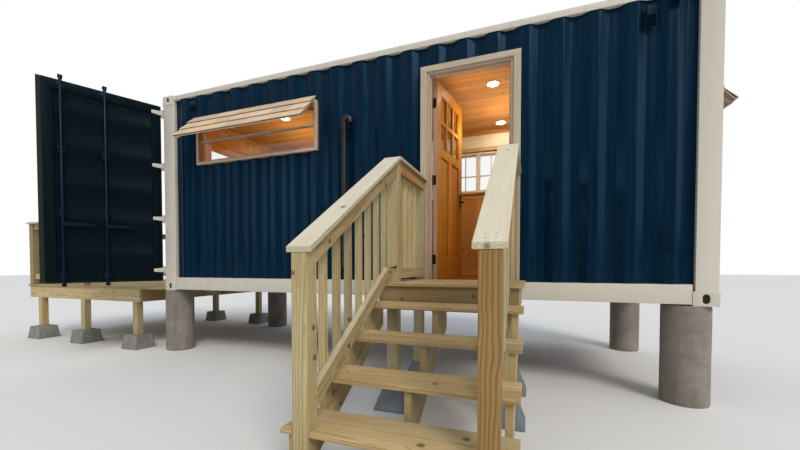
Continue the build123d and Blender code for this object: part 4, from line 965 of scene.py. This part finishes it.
def vent(x0, x1, z0, z1, rear=False):
    """A pressed vent box: flanged plate, hood and slats."""
    vents.change = to_rear if rear else None
    bottom, top = z0 + 10, z1 - 10
    middle = (bottom + top) / 2
    vents.bar(x0, x1, 7, 11, z0, z1, 1.5)
    vents.prism([(9, top), (-3, top - 8), (-8, top - 30), (-8, middle), (-6, middle), (-6, top - 30), (9, top - 10)],
                "x", x0 + 7, x1 - 7, bevel=0.5)
    for x in (x0 + 7, x1 - 10):
        vents.bar(x, x + 3, -7, 9, bottom, top - 9, 1)
    for n in range(int((top - bottom - 10) / 17)):
        z = bottom + 4 + 17 * n
        vents.prism([(7, z + 12), (8, z + 13), (-4, z + 2), (-5, z)], "x", x0 + 9, x1 - 9, bevel=0.4)
    vents.change = None
    for x in (x0 + 4, x1 - 4):
        for z in (z0 + 5, z1 - 5):
            vents.disc((x, WIDTH - 7 if rear else 7, z), (0, 1 if rear else -1, 0), 3.2, 1.4, 10)


vent(497, 600, 2318, 2472)
vent(5524, 5606, 2285, 2470)
vent(5684, 5760, 2398, 2508)
vent(1200, 1305, 2308, 2464, rear=True)
vent(4700, 4805, 2308, 2464, rear=True)
for box, bevel in (((5663, 5757, 4, 11, 462, 572), 1.5), ((5671, 5749, 1.5, 4, 470, 564), 1),
                   ((5659, 5761, -1, 11, 572.5, 580), 1.5), ((2436, 2600, 4, 11, 1004, 1016), 1),
                   ((2444, 2452, -10, 8, 1004, 1012), 1), ((2584, 2592, -10, 8, 1004, 1012), 1)):
    vents.bar(*box, bevel)
vents.make("wall_vent_boxes", navy, slot="navy_steel")

leaf_swing = turn_about(-34, 24, 155)
for side, change, body, reach in (("front", leaf_swing, "cargo_door", 1256),
                                  ("rear", lambda p: to_rear(leaf_swing(p)), "cabin", 1228)):
    seal = Build(48, change)
    for y0, y1, z0, z1 in ((42, 63, 125, 2482), (1210, reach, 125, 2482), (60, 1213, 2459, 2484), (60, 1213, 122, 148)):
        longest = UP if z1 - z0 > y1 - y0 else ACROSS
        seal.bar(-15, -9, y0, y1, z0, z1, along=longest)
        seal.bar(-9.2, -4, y0 + 3, y1 - 3, z0 + 3, z1 - 3, along=longest)
    seal.make("door_seal_" + side, rubber, body=body, slot="navy_steel")


# Shingled awnings: sheathing on rafters under three courses of split shakes, and black strips under each course as
# painted shadow
def awning(seed, side, width, top, place):
    build, shadow_strips = Build(seed, place), Build(seed + 4, place)
    out, drop = 322, 352
    length = math.hypot(out, drop)
    way = Vector((0, -out / length, -drop / length))
    up = Vector((0, -drop / length, out / length))

    def slab(x0, x1, s0, s1, low0, high0, low1, high1, skew=0.0, bevel=1.2, into=build):
        bm = bmesh.new()
        corners = [bm.verts.new(Vector((x, 0, top)) + way * (s + (skew if x == x1 else 0)) + up * h)
                   for s, low, high in ((s0, low0, high0), (s1, low1, high1)) for x in (x0, x1) for h in (low, high)]
        for face in ((0, 1, 3, 2), (4, 6, 7, 5), (0, 4, 5, 1), (2, 3, 7, 6), (0, 2, 6, 4), (1, 5, 7, 3)):
            bm.faces.new([corners[k] for k in face])
        ease(bm, bevel)
        into.add_bmesh(bm, tuple(way))

    slab(4, width - 4, 6, length - 16, -22, -13, -22, -13)
    r = build.random
    for course in range(3):
        butt = length * (course + 1) / 3 - (0 if course < 2 else 12)
        head = max(2.0, butt - 180)
        marks = [0] + sorted(width * (k + r.uniform(-0.2, 0.2)) / 7 for k in range(1, 7)) + [width]
        for x0, x1 in zip(marks, marks[1:]):
            slab(x0 + 0.5 * (x0 > 0), x1 - 0.5 * (x1 < width), head, butt - r.uniform(0, 4), -12.7, -10, -1.5, 8,
                 r.uniform(-2, 2), 1.5)
        # Black strips just under each course's butt, recessed beneath the shake: painted shadow lines under the
        # courses.
        slab(2, width - 2, head + 60, butt - 12, -12.8, -9.0, -12.8, -2.0, into=shadow_strips)
    fall = drop / out
    low = top - 22 * length / out
    a, b = 45, out - 25
    line = [(-a, low - a * fall), (-b, low - b * fall), (-b, low - b * fall - 9),
            (-b + 40, low - (b - 40) * fall - 20), (-a, low - a * fall - 50 * length / out)]
    for x in (60, width / 2 - 19, width - 98):
        build.prism(line, "x", x, x + 38, tuple(way))
    build.bar(2, width - 2, -20, -2, low - 92, low - 30)
    build.make(side + "_awning_shakes", cedar, side + "_awning")
    shadow_strips.make(side + "_awning_painted_shadow_strips", rubber, side + "_awning")


awning(41, "front", 1837, 2257, lambda p: (p[0] + 540, p[1] + SKIN, p[2]))
awning(42, "end", 1398, 2150, lambda p: (LENGTH - SKIN - p[1], 520 + p[0], p[2]))

# Gooseneck vent pipe with strap clamps
pipe = Build(43)
PIPE_X, PIPE_Y, PIPE_FOOT, PIPE_BEND = 2751, -32, 300, 1886
PIPE_RADIUS, BORE_RADIUS, BEND_RADIUS, PIPE_END = 30, 26, 38, 1861
mouth_x = PIPE_X + 2 * BEND_RADIUS


def sleeve(x, z0, z1, radius, edge):
    """A collar round the pipe with eased ends."""
    pipe.tube([(x, PIPE_Y, z) for z in (z0, z0 + 2, z1 - 2, z1)], [edge, radius, radius, edge], 32)


line = [(PIPE_X, PIPE_Y, z) for z in (PIPE_FOOT, 340, 700, 1200, 1700, PIPE_BEND)]
line += [(PIPE_X + BEND_RADIUS - BEND_RADIUS * math.cos(a), PIPE_Y, PIPE_BEND + BEND_RADIUS * math.sin(a))
         for a in (math.pi * k / 18 for k in range(1, 19))]
outer = line + [(mouth_x, PIPE_Y, PIPE_END)]
inner = [(mouth_x, PIPE_Y, PIPE_END), (mouth_x, PIPE_Y, PIPE_BEND)] + line[-2:-8:-1]
pipe.tube(outer + inner, [PIPE_RADIUS] * len(outer) + [BORE_RADIUS] * len(inner), 32)
for low in (PIPE_FOOT, 1812):
    sleeve(PIPE_X, low, low + 54, 33.5, 31.5)
sleeve(mouth_x, 1859, 1884, 33, 31)
for z in (420, 1726):
    strap = [[(PIPE_X + r * math.cos(a), PIPE_Y - r * math.sin(a)) for a in (math.pi * k / 16 for k in range(17))]
             for r in (32, 30.2)]
    pipe.prism([(PIPE_X + 32, 10), *strap[0], (PIPE_X - 32, 10), (PIPE_X - 30.2, 10), *strap[1][::-1],
                (PIPE_X + 30.2, 10)], "z", z, z + 30, ALONG, 0)
    pipe.bar(PIPE_X - 40, PIPE_X + 40, 7, 13, z, z + 30, 1)
    pipe.bar(PIPE_X - 27, PIPE_X + 36, 12, 47.6, z + 2, z + 28, 1.5)
    for s in (-36, 36):
        pipe.disc((PIPE_X + s, 7, z + 15), (0, -1, 0), 4, 4, 6)
pipe.make("gooseneck_pipe", pipe_black, "vent_pipe", smooth=35)


# Round piers, cast in spiral board forms
def pier(build, x, y, seed):
    rows, around = 64, 72
    points, faces = [], []
    for j in range(rows + 1):
        z = GROUND - GROUND * j / rows
        for i in range(around):
            a = 2 * math.pi * i / around
            reach = 174 - 1.3 * noise.noise((math.cos(a) * 2, math.sin(a) * 2, z / 130 + seed))
            turn = (z - GROUND + 70 * seed + 26 * i / around) % 208
            if turn < 14:
                reach -= 3.2 * math.sin(math.pi * turn / 14)
            if j in (0, rows):
                reach -= 4
            points.append((x + reach * math.cos(a), y + reach * math.sin(a), z))
    for j in range(rows):
        for i in range(around):
            k = (i + 1) % around
            faces.append([j * around + i, j * around + k, (j + 1) * around + k, (j + 1) * around + i])
    faces += [list(reversed(range(around))), [rows * around + i for i in range(around)]]
    build.add(points, faces, UP)


columns = Build(44)
for k, (x, y) in enumerate([(60, 170), (60, WIDTH - 170), (LENGTH - 170, 170), (LENGTH - 170, WIDTH - 170)]):
    pier(columns, x, y, k + 1)
columns.make("pier_columns", pier_concrete, "piers", smooth=50)


def rough_blocks(seed, name, material, places, height, top, bottom):
    """Cast footings under posts, with sloping sides, worn edges and a pitted skin."""
    build = Build(seed)
    for x, y in places:
        bm = bmesh.new()
        bmesh.ops.create_cube(bm, size=2)
        ease(bm, 0.07, 2)
        bmesh.ops.subdivide_edges(bm, edges=[e for e in bm.edges if e.calc_length() > 1], cuts=9, use_grid_fill=True)
        for vert in bm.verts:
            share = (vert.co.z + 1) / 2
            half = (bottom + (top - bottom) * share) / 2 - 2
            p = Vector((x + POST / 2 + vert.co.x * half, y + POST / 2 + vert.co.y * half, GROUND + height * share))
            bump = noise.noise(p / 34) * 1.6 + noise.noise(p / 11) * 0.7
            if share > 0.02:
                p += Vector((vert.co.x, vert.co.y, 0)) * (bump - 0.6)
            vert.co = p
        build.add_bmesh(bm, UP)
    build.make(name, material, "footing_blocks", smooth=50)


rough_blocks(45, "deck_footing_blocks", block_concrete, DECK_POSTS, 190, 250, 300)
rough_blocks(46, "stair_footing_blocks", blue_concrete,
             [(x, y) for x in NEWELS for y in (LANDING_POST_Y, REAR_POST_Y)], 200, 130, 270)


# Windows: mitred casings, liners, sashes with glazing beads
def mitred(build, box, face, depth, axis, bevel=2.0):
    """Four mitred bars round an opening, across an axis. The face is one width, or left, right, low and high."""
    a0, a1, b0, b1 = box
    left, right, low, high = face if isinstance(face, tuple) else (face,) * 4
    outer = [(a0, b0), (a1, b0), (a1, b1), (a0, b1)]
    inner = [(a0 + left, b0 + low), (a1 - right, b0 + low), (a1 - right, b1 - high), (a0 + left, b1 - high)]
    for k in range(4):
        m = (k + 1) % 4
        way = UP if k % 2 else ACROSS if axis == "x" else ALONG
        build.prism([outer[k], outer[m], inner[m], inner[k]], axis, *sorted(depth), way, bevel)


def inset(box, by):
    return box[0] + by, box[1] - by, box[2] + by, box[3] - by


def window(seed, side, hole, outside, inside, skin, glass_at, axis, lining, mullion=0):
    """A framed window: casing outside, liner through the wall, casing inside, sash and beads round the glass."""
    build, inner = Build(seed), Build(seed + 30)
    way = 1 if inside > outside else -1
    mitred(build, hole, 31, (outside, skin), axis, 2.5)
    mitred(inner, inset(hole, 31), 13, (outside + 5 * way, skin), axis, 1.5)
    mitred(inner, inset(hole, 14), 30, (skin, inside), axis, 1.5)
    a0, a1, b0, b1 = inset(hole, 44)
    cells = [(a0, a1)]
    if mullion:
        middle = (a0 + a1) / 2
        cells = [(a0, middle - mullion / 2), (middle + mullion / 2, a1)]
        build.bar(cells[0][1], cells[1][0], *sorted((outside + 8 * way, inside)), b0, b1)
    for a, b in cells:
        for depth in ((glass_at - 13 * way, glass_at - 0.3 * way), (glass_at + 6.3 * way, glass_at + 19 * way)):
            mitred(inner, (a, b, b0, b1), 12, depth, axis, 1.5)
    inner.make(side + "_window_lining", lining, side + "_window_frame")
    return build, cells


build, cells = window(51, "front", FRONT_HOLE, -20, ROOM_FRONT, SKIN - 1, 28, "y", warm)
low = FRONT_HOLE[2] + 285
for depth in ((2, 26), (35, 50)):
    build.bar(*cells[0], *depth, low, low + 14, 1.5)
build.make("front_window_timber", blush_trim, "front_window_frame")

build, cells = window(52, "rear", REAR_HOLE, WIDTH + 20, ROOM_REAR, WIDTH - SKIN + 1, 2404, "y", white_trim, 40)
for a, b in cells:
    middle = (a + b) / 2
    for depth in ((2385, 2397.5), (2404.5, 2417)):
        build.bar(middle - 7, middle + 7, *depth, 1524, 2086, 1.5)
        build.bar(a, b, *depth, 1754, 1768, 1.5)
build.make("rear_window_timber", white_trim, "rear_window_frame")
CASING, SILL_LOW = 60, 1390
REAR_CASING = (REAR_HOLE[0] - CASING, REAR_HOLE[1] + CASING, REAR_HOLE[2], REAR_HOLE[3] + CASING)
casing = Build(53)
mitred(casing, REAR_CASING, (CASING, CASING, 0.1, CASING), (2311, BOARD_REAR), "y")
casing.make("rear_window_inner_casing", blush_trim, slot="warm_pine")
casing = Build(54)
casing.bar(3355, 4375, 2268, 2327, 1455, 1479, 4)
casing.bar(*REAR_CASING[:2], 2308, BOARD_REAR, SILL_LOW, 1454)
casing.make("rear_window_sill", warm, slot="warm_pine")

build, cells = window(55, "end", END_HOLE, LENGTH + 20, ROOM_X1, LENGTH - SKIN + 1, 6024, "x", warm)
build.make("end_window_timber", blush_trim, "end_window_frame")


# Entrance frame and leaf
JAMB, STOP, THRESHOLD = 90, 12, 188
CASING_EDGE, CASING_TOP = 64, ENTRY_TOP - 56
DOORWAY_X0, DOORWAY_X1 = ENTRY_X0 + JAMB, ENTRY_X1 - JAMB
head = ENTRY_TOP - 78
jamb = Build(61)
for a, b in ((ENTRY_X0, ENTRY_X0 + CASING_EDGE), (ENTRY_X1 - CASING_EDGE, ENTRY_X1)):
    jamb.prism([(a, FLOOR), (b, FLOOR), (b, CASING_TOP), (a, CASING_TOP)], "y", -20, 1, UP, 3, 2)
jamb.bar(ENTRY_X0, ENTRY_X1, -20, 1, CASING_TOP, ENTRY_TOP, 3, 2)
jamb.make("entrance_outer_casing", cream_trim, "entry_frame")
jamb = Build(62)
for a, b, c, d in ((ENTRY_X0, DOORWAY_X0, DOORWAY_X0, DOORWAY_X0 + STOP),
                   (DOORWAY_X1, ENTRY_X1, DOORWAY_X1 - STOP, DOORWAY_X1)):
    jamb.bar(a, b, 1, ROOM_FRONT, FLOOR, head)
    jamb.bar(c, d, 31, 61, THRESHOLD, head - STOP)
jamb.bar(ENTRY_X0, ENTRY_X1, 1, ROOM_FRONT, head, ENTRY_TOP)
jamb.bar(DOORWAY_X0, DOORWAY_X1, 31, 61, head - STOP, head)
jamb.make("entrance_jambs", blush_trim, "entry_frame")
sill = Build(63)
sill.prism([(-20, FLOOR), (ROOM_FRONT, FLOOR), (ROOM_FRONT, 184), (66, THRESHOLD), (24, THRESHOLD), (-20, 180)], "x",
           DOORWAY_X0 + 0.5, DOORWAY_X1 - 0.5)
sill.make("entrance_threshold", floor_wood, "entry_frame")
strip = Build(64)
for x in (DOORWAY_X0 + 1, DOORWAY_X1 - 9):
    strip.bar(x, x + 8, 61.5, 65, THRESHOLD + 2, ENTRY_TOP - 80, 1)
strip.make("entrance_weather_strips", rubber, slot="door_trim")

LEAF_X0, LEAF_X1, LEAF_Z0, LEAF_Z1 = 3702, 4464, 193, 2225
STILE, TOP_RAIL, MID_RAIL, LOW_RAIL = 105, 115, 90, 230
PANE, BAR = 260, 28
swing = turn_about(3699.5, 117, 81)
lights_base, lights_top = LEAF_Z1 - TOP_RAIL - 2 * PANE - BAR, LEAF_Z1 - TOP_RAIL
panel_top, panel_low = lights_base - MID_RAIL, LEAF_Z0 + LOW_RAIL
leaf = Build(65, swing)
for a, b in ((LEAF_X0, LEAF_X0 + STILE), (LEAF_X1 - STILE, LEAF_X1)):
    leaf.bar(a, b, LEAF_Y0, LEAF_Y1, LEAF_Z0, LEAF_Z1, 2, 2)
a, b = LEAF_X0 + STILE, LEAF_X1 - STILE
for c, d in ((lights_top, LEAF_Z1), (panel_top, lights_base), (LEAF_Z0, panel_low)):
    leaf.bar(a, b, LEAF_Y0 + 0.3, LEAF_Y1 - 0.3, c, d, 1.5, along=ALONG)
middle = (a + b) / 2
leaf.bar(middle - 45, middle + 45, LEAF_Y0 + 0.3, LEAF_Y1 - 0.3, panel_low, panel_top, 1.5, along=UP)
for c, d in ((a, middle - 45), (middle + 45, b)):
    leaf.bar(c - 6, d + 6, 80, 96, panel_low - 6, panel_top + 6, 0.5, along=UP)
    for face, back in ((76, 80), (100, 96)):
        bm = bmesh.new()
        rings = []
        for by, y in ((2, back), (2, back + (face - back) * 0.2), (42, face - (face - back) * 0.25), (43.5, face)):
            x0, x1, z0, z1 = inset((c, d, panel_low, panel_top), by)
            rings.append([bm.verts.new((x, y, z)) for x, z in ((x0, z0), (x1, z0), (x1, z1), (x0, z1))])
        loft(bm, rings)
        leaf.add_bmesh(bm, UP)
    for face, way in ((LEAF_Y0, 1), (LEAF_Y1, -1)):
        mitred(leaf, (c, d, panel_low, panel_top), 9, (face + 1.5 * way, face + 11 * way), "y", 3.0)
span = (b - a + BAR) / 3
for x in (a + span - BAR, a + 2 * span - BAR):
    leaf.bar(x, x + BAR, LEAF_Y0 + 4, LEAF_Y1 - 4, lights_base, lights_top, 5, 2, along=UP)
z = lights_base + PANE
leaf.bar(a, b, LEAF_Y0 + 4.4, LEAF_Y1 - 4.4, z, z + BAR, 5, 2, along=ALONG)
for k in range(3):
    for r in range(2):
        x, z = a + k * span, lights_base + r * (PANE + BAR)
        for depth in ((73, 84.7), (91.3, 103)):
            mitred(leaf, (x, x + span - BAR, z, z + PANE), 8, depth, "y", 2.5)
leaf.make("entrance_leaf_timber", door_wood, "entry_leaf")

dressed("entry_hinges", "entrance_hinge_jamb_halves", black_metal, 0.6)
dressed("entry_hinge_leaves", "entrance_hinge_leaf_halves", black_metal, 0.6)
LEVER_X, LEVER_Z = LEAF_X1 - 60, LEAF_Z0 + 890
LOCK_Z = LEVER_Z + 62
lever = Build(66, swing)
for face, way in ((LEAF_Y1, 1), (LEAF_Y0, -1)):
    def out(s, x=0, z=0):
        """A point s out from the leaf's face, beside the lever's axis."""
        return LEVER_X + x, face + way * s, LEVER_Z + z

    turns = [2 * math.pi * k / 40 for k in range(40)]
    lever.prism([(LEVER_X + 28 * math.cos(a), LEVER_Z + 12 + 95 * math.sin(a)) for a in turns], "y",
                *sorted((face, face + 6 * way)), UP, 1.8, 2)
    lever.tube([out(6, 24 * math.cos(a), 12 + 91 * math.sin(a)) for a in turns], 1.6, 8, close=True)
    lever.tube([out(s) for s in (5, 9, 12, 34, 45)], [15, 15, 10, 9, 9], 20)
    lever.tube([out(43, 8), out(43), out(44, -20, 1), out(43, -55, 2), out(42, -88, -1), out(39, -106, -6),
                out(37, -110, -7)], [5, 9, 8.5, 7.5, 7, 6.5, 4], 16)
    lever.tube([out(s, 0, 62) for s in (5, 13, 15, 16)], [16, 16, 14.5, 12], 28)
    if way > 0:
        lever.bar(LEVER_X - 3, LEVER_X + 3, face + 16, face + 28, LOCK_Z - 13, LOCK_Z + 13)
    else:
        lever.tube([out(15, 0, 62), out(17, 0, 62)], [6, 5], 20)
    for dz in (-72, 96):
        lever.disc(out(5.5, 0, dz), (0, way, 0), 3.4, 1.4, 12)
lever.make("entrance_lever_set", black_metal, "entry_handle", smooth=35)
HINGES = (LEAF_Z0 + 200, (LEAF_Z0 + LEAF_Z1) / 2, LEAF_Z1 - 230)
edge = Build(91, swing)
edge.bar(LEAF_X0 - 0.9, LEAF_X0 + 0.2, LEAF_Y0 + 1, LEAF_Y1 - 1, LEAF_Z0 + 1, LEAF_Z1 - 1, 0.3)
edge.make("entrance_leaf_hinge_edge", blush_trim, body="entrance_door", slot="door_trim")
edge = Build(92, swing)
for z in HINGES:
    edge.bar(LEAF_X0 - 1.9, LEAF_X0 - 0.7, LEAF_Y0 + 12, LEAF_Y1 - 1, z - 50, z + 50, 0.4)
    for dz, dy in ((-36, 22), (0, 30), (36, 22)):
        edge.disc((LEAF_X0 - 1.9, LEAF_Y0 + dy, z + dz), (-1, 0, 0), 3.2, 0.7, 10)
edge.make("entrance_hinge_edge_plates", black_metal, body="entrance_door", slot="black_hardware")
edge = Build(67, swing)
for z, half in ((LEVER_Z, 45), (LOCK_Z, 10)):
    edge.bar(LEAF_X1 - 1.5, LEAF_X1 + 0.8, 76, 100, z - half, z + half, 0.5)
edge.make("entrance_latch_plates", plated, body="entrance_door", slot="black_hardware")
pins = Build(68)
for z in HINGES:
    for dz in (-36, 0, 36):
        pins.disc((3681 if dz else 3676, 113, z + dz), ACROSS, 3.4, 1.0, 12)
pins.make("entrance_hinge_screws", black_metal, slot="black_hardware", smooth=35)

# Glazed pair of doors between the room and the deck
PAIR_SILL, PAIR_JAMB, PAIR_STILE = 204, 60, 95
PAIR_GLASS = (404, 2065)
inner_y0, inner_y1, inner_top = PAIR_Y0 + PAIR_JAMB, PAIR_Y1 - PAIR_JAMB, PAIR_TOP - PAIR_JAMB
pair = Build(93)
for y0, y1 in ((PAIR_Y0, inner_y0), (inner_y1, PAIR_Y1)):
    pair.bar(120, ROOM_X0, y0, y1, FLOOR, inner_top)
pair.bar(120, ROOM_X0, PAIR_Y0, PAIR_Y1, inner_top, PAIR_TOP)
pair.prism([(120, FLOOR), (ROOM_X0, FLOOR), (ROOM_X0, PAIR_SILL), (PAIR_X0, PAIR_SILL), (120, PAIR_SILL - 6)], "y",
           inner_y0 + 0.3, inner_y1 - 0.3)
middle = (PAIR_Y0 + PAIR_Y1) / 2
for a, b in ((inner_y0, middle), (middle, inner_y1)):
    for y0, y1 in ((a + 0.5, a + PAIR_STILE), (b - PAIR_STILE, b - 0.5)):
        pair.bar(PAIR_X0, PAIR_X1, y0, y1, PAIR_SILL, inner_top, 2, 2)
    for z0, z1 in ((PAIR_SILL, PAIR_GLASS[0]), (PAIR_GLASS[1], inner_top - 0.5)):
        pair.bar(PAIR_X0 + 0.3, PAIR_X1 - 0.3, a + PAIR_STILE, b - PAIR_STILE, z0, z1, 1.5)
    for x0, x1 in ((146, 158.7), (165.3, 178)):
        mitred(pair, (a + PAIR_STILE, b - PAIR_STILE, *PAIR_GLASS), 13, (x0, x1), "x", 4.0)
        for z in (820, 1235, 1650):
            pair.bar(x0 + 1, x1 - 1, a + PAIR_STILE, b - PAIR_STILE, z - 10, z + 10, 3)
for x0, x1 in ((PAIR_X0 - 6.5, PAIR_X0), (PAIR_X1, PAIR_X1 + 6)):
    pair.bar(x0, x1, middle - 22, middle + 22, PAIR_SILL + 2, inner_top - 2)
for y0, y1 in ((inner_y0, inner_y0 + STOP), (inner_y1 - STOP, inner_y1)):
    pair.bar(PAIR_X1 + 0.3, 204, y0, y1, PAIR_SILL, inner_top)
pair.bar(PAIR_X1 + 0.3, 204, inner_y0 + STOP, inner_y1 - STOP, inner_top - STOP, inner_top)
pair.make("deck_door_timber", door_wood, "deck_doors")
fittings = Build(94)
y, z = middle + 60, 1125
for face, way in ((PAIR_X0, -1), (PAIR_X1, 1)):
    fittings.bar(*sorted((face, face + 4 * way)), y - 19, y + 19, 1000, 1190, 1.5)
    fittings.tube([(face + 3 * way, y, z), (face + 46 * way, y, z)], 8.5, 16)
    fittings.tube([(face + 44 * way, y - 8, z), (face + 46 * way, y + 4, z), (face + 45 * way, y + 60, z - 1),
                   (face + 42 * way, y + 112, z - 7)], [6, 9, 8, 5], 14)
    fittings.disc((face + 3 * way, y, 1045), (way, 0, 0), 9, 4, 18)
for y in (inner_y0, inner_y1):
    for z in (380, 1190, 2000):
        fittings.tube([(PAIR_X0 - 3, y, z + s) for s in (-50, -48, 48, 50)], [4.5, 6, 6, 4.5], 14)
fittings.make("deck_door_fittings", black_metal, slot="black_hardware", smooth=35)


# Room: boarded walls, ceiling and floor, recessed lamps
def boarded(build, span, run, depth, axes, holes=(), wide=96, bevel=2.2):
    """Boards side by side over a span, each along the run and cut at the holes. Axes names span, run and depth."""
    marks = [span[0]]
    while marks[-1] < span[1] - 1:
        marks.append(min(marks[-1] + wide, span[1]))
    for lo, hi in zip(marks, marks[1:]):
        cuts = sorted({lo, hi, *[h for hole in holes for h in hole[:2] if lo < h < hi]})
        for u0, u1 in zip(cuts, cuts[1:]):
            if u1 - u0 < 3:
                continue
            runs = [run]
            for c0, c1, d0, d1 in holes:
                if c0 < (u0 + u1) / 2 < c1:
                    runs = [part for low, high in runs for part in ((low, min(high, d0)), (max(low, d1), high))
                            if part[1] - part[0] > 3]
            for part in runs:
                limits = dict(zip(axes, ((u0 + 0.3, u1 - 0.3), part, depth)))
                build.bar(*limits["x"], *limits["y"], *limits["z"], bevel, along=WAYS[axes[1]])


WAIST = 1389
ENTRY_HOLE, PAIR_HOLE = (ENTRY_X0 - 1, ENTRY_X1 + 1, 0, 3000), (PAIR_Y0, PAIR_Y1, 0, PAIR_TOP)
SILL_HOLE = (*REAR_CASING[:2], SILL_LOW, REAR_CASING[3])
long_side, short_side = (ROOM_X0, ROOM_X1), (119, 2319)
low_boards, high_boards = Build(71), Build(72)
for span, depth, axes, holes in ((long_side, (ROOM_FRONT + 0.3, BOARD_FRONT), "xy", [ENTRY_HOLE, FRONT_HOLE]),
                                 (long_side, (BOARD_REAR, ROOM_REAR - 0.3), "xy", [SILL_HOLE]),
                                 (short_side, (LAST_BOARD, ROOM_X1 - 0.3), "yx", [END_HOLE])):
    boarded(low_boards, span, (FLOOR, WAIST), depth, axes[0] + "z" + axes[1], holes)
    boarded(high_boards, (WAIST, CEILING), span, depth, "z" + axes, [(*h[2:], *h[:2]) for h in holes], 180)
boarded(low_boards, short_side, (FLOOR, CEILING), (ROOM_X0 + 0.3, FIRST_BOARD), "yzx", [PAIR_HOLE])
low_boards.make("room_wainscot_boards", warm, slot="warm_pine")
deck_side = Build(78)
boarded(deck_side, (166, WIDTH - 166), (FLOOR + 3, 2440), (111.5, 119.7), "yzx", [PAIR_HOLE])
deck_side.make("deck_side_boards", warm, slot="warm_pine")
deck_casing = Build(79)
for y0, y1 in ((399, 471), (1967, 2039)):
    deck_casing.bar(100, 111.3, y0, y1, FLOOR + 3, 2238)
deck_casing.bar(100, 111.3, 399, 2039, 2238.3, 2312)
deck_casing.bar(92, 111.3, 385, 2053, 2312.3, 2330, 3)
deck_casing.make("deck_door_casing", cream_trim, slot="door_trim")
high_boards.make("room_white_boards", white_trim, slot="warm_pine")
trim = Build(73)
low_x, high_x = ROOM_X0 + 9, ROOM_X1 - 9
beside_door = ((low_x, ENTRY_X0), (ENTRY_X1, high_x))
beside_casing = ((low_x, REAR_CASING[0] - 2), (REAR_CASING[1] + 2, high_x))
cornice = CEILING - 72
for y0, y1, spans in ((BOARD_FRONT, 134, beside_door), (2304, BOARD_REAR, ((low_x, high_x),))):
    for x0, x1 in spans:
        trim.bar(x0, x1, y0, y1, FLOOR, FLOOR + 90, 4, 2)
    trim.bar(low_x, high_x, y0, y1, cornice, CEILING, 5, 2)
for y0, y1, spans in ((BOARD_FRONT, 128, beside_door), (2310, BOARD_REAR, beside_casing)):
    for x0, x1 in spans:
        trim.bar(x0, x1, y0, y1, WAIST - 22, WAIST + 22, 4, 2)
for x0, x1 in ((5913, LAST_BOARD), (FIRST_BOARD, 234)):
    trim.bar(x0, x1, 134, 2304, cornice, CEILING, 5, 2)
trim.make("room_trim", warm, slot="warm_pine")
roof_boards = Build(74)
boarded(roof_boards, (50, 2388), (210, 5999), (CEILING, CEILING + 22), "yxz", wide=97, bevel=3.5)
roof_boards.make("ceiling_boards", warm, "ceiling")
planks = Build(75)
planks.bar(121, 5998, 55, 2383, 140, 157, 1)
boarded(planks, (54, 2384), (120, 5999), (157, FLOOR), "yxz", wide=122, bevel=1.6)
planks.make("floor_planks", floor_wood, "floor_deck")

m = Material("lamp_glow")
glow = m.done((0.9, 0.85, 0.75), 0.5, Emission_Strength=42,
              Emission_Color=m.blend(m.cloud(m.place(), 8), (1.0, 0.80, 0.52), (1.0, 0.84, 0.58)))
lens, rims = Build(76), Build(77)
for x in (1330, 2790, 4230, 5450):
    for y in (860, 2080):
        lens.tube([(x, y, CEILING - s) for s in (0.5, 3, 5)], [62, 61, 54], 40)
        rims.tube([(x + 70 * math.cos(a), y + 70 * math.sin(a), CEILING - 3)
                   for a in (2 * math.pi * k / 48 for k in range(48))], 7, 10, close=True)
lens.make("recessed_lamp_lenses", glow, smooth=40)
rims.make("recessed_lamp_rims", white_trim, smooth=60)

# Nodes that stay, with a material of their own
PANES = ("window_glass", "entry_glass")
for name in (*PANES, "lining_front_left", "lining_over_door", "lining_front_right", "lining_rear", "lining_right",
             "infill_wall"):
    nodes[name].data.materials.clear()
    nodes[name].data.materials.append(glass if name in PANES else core_wood)
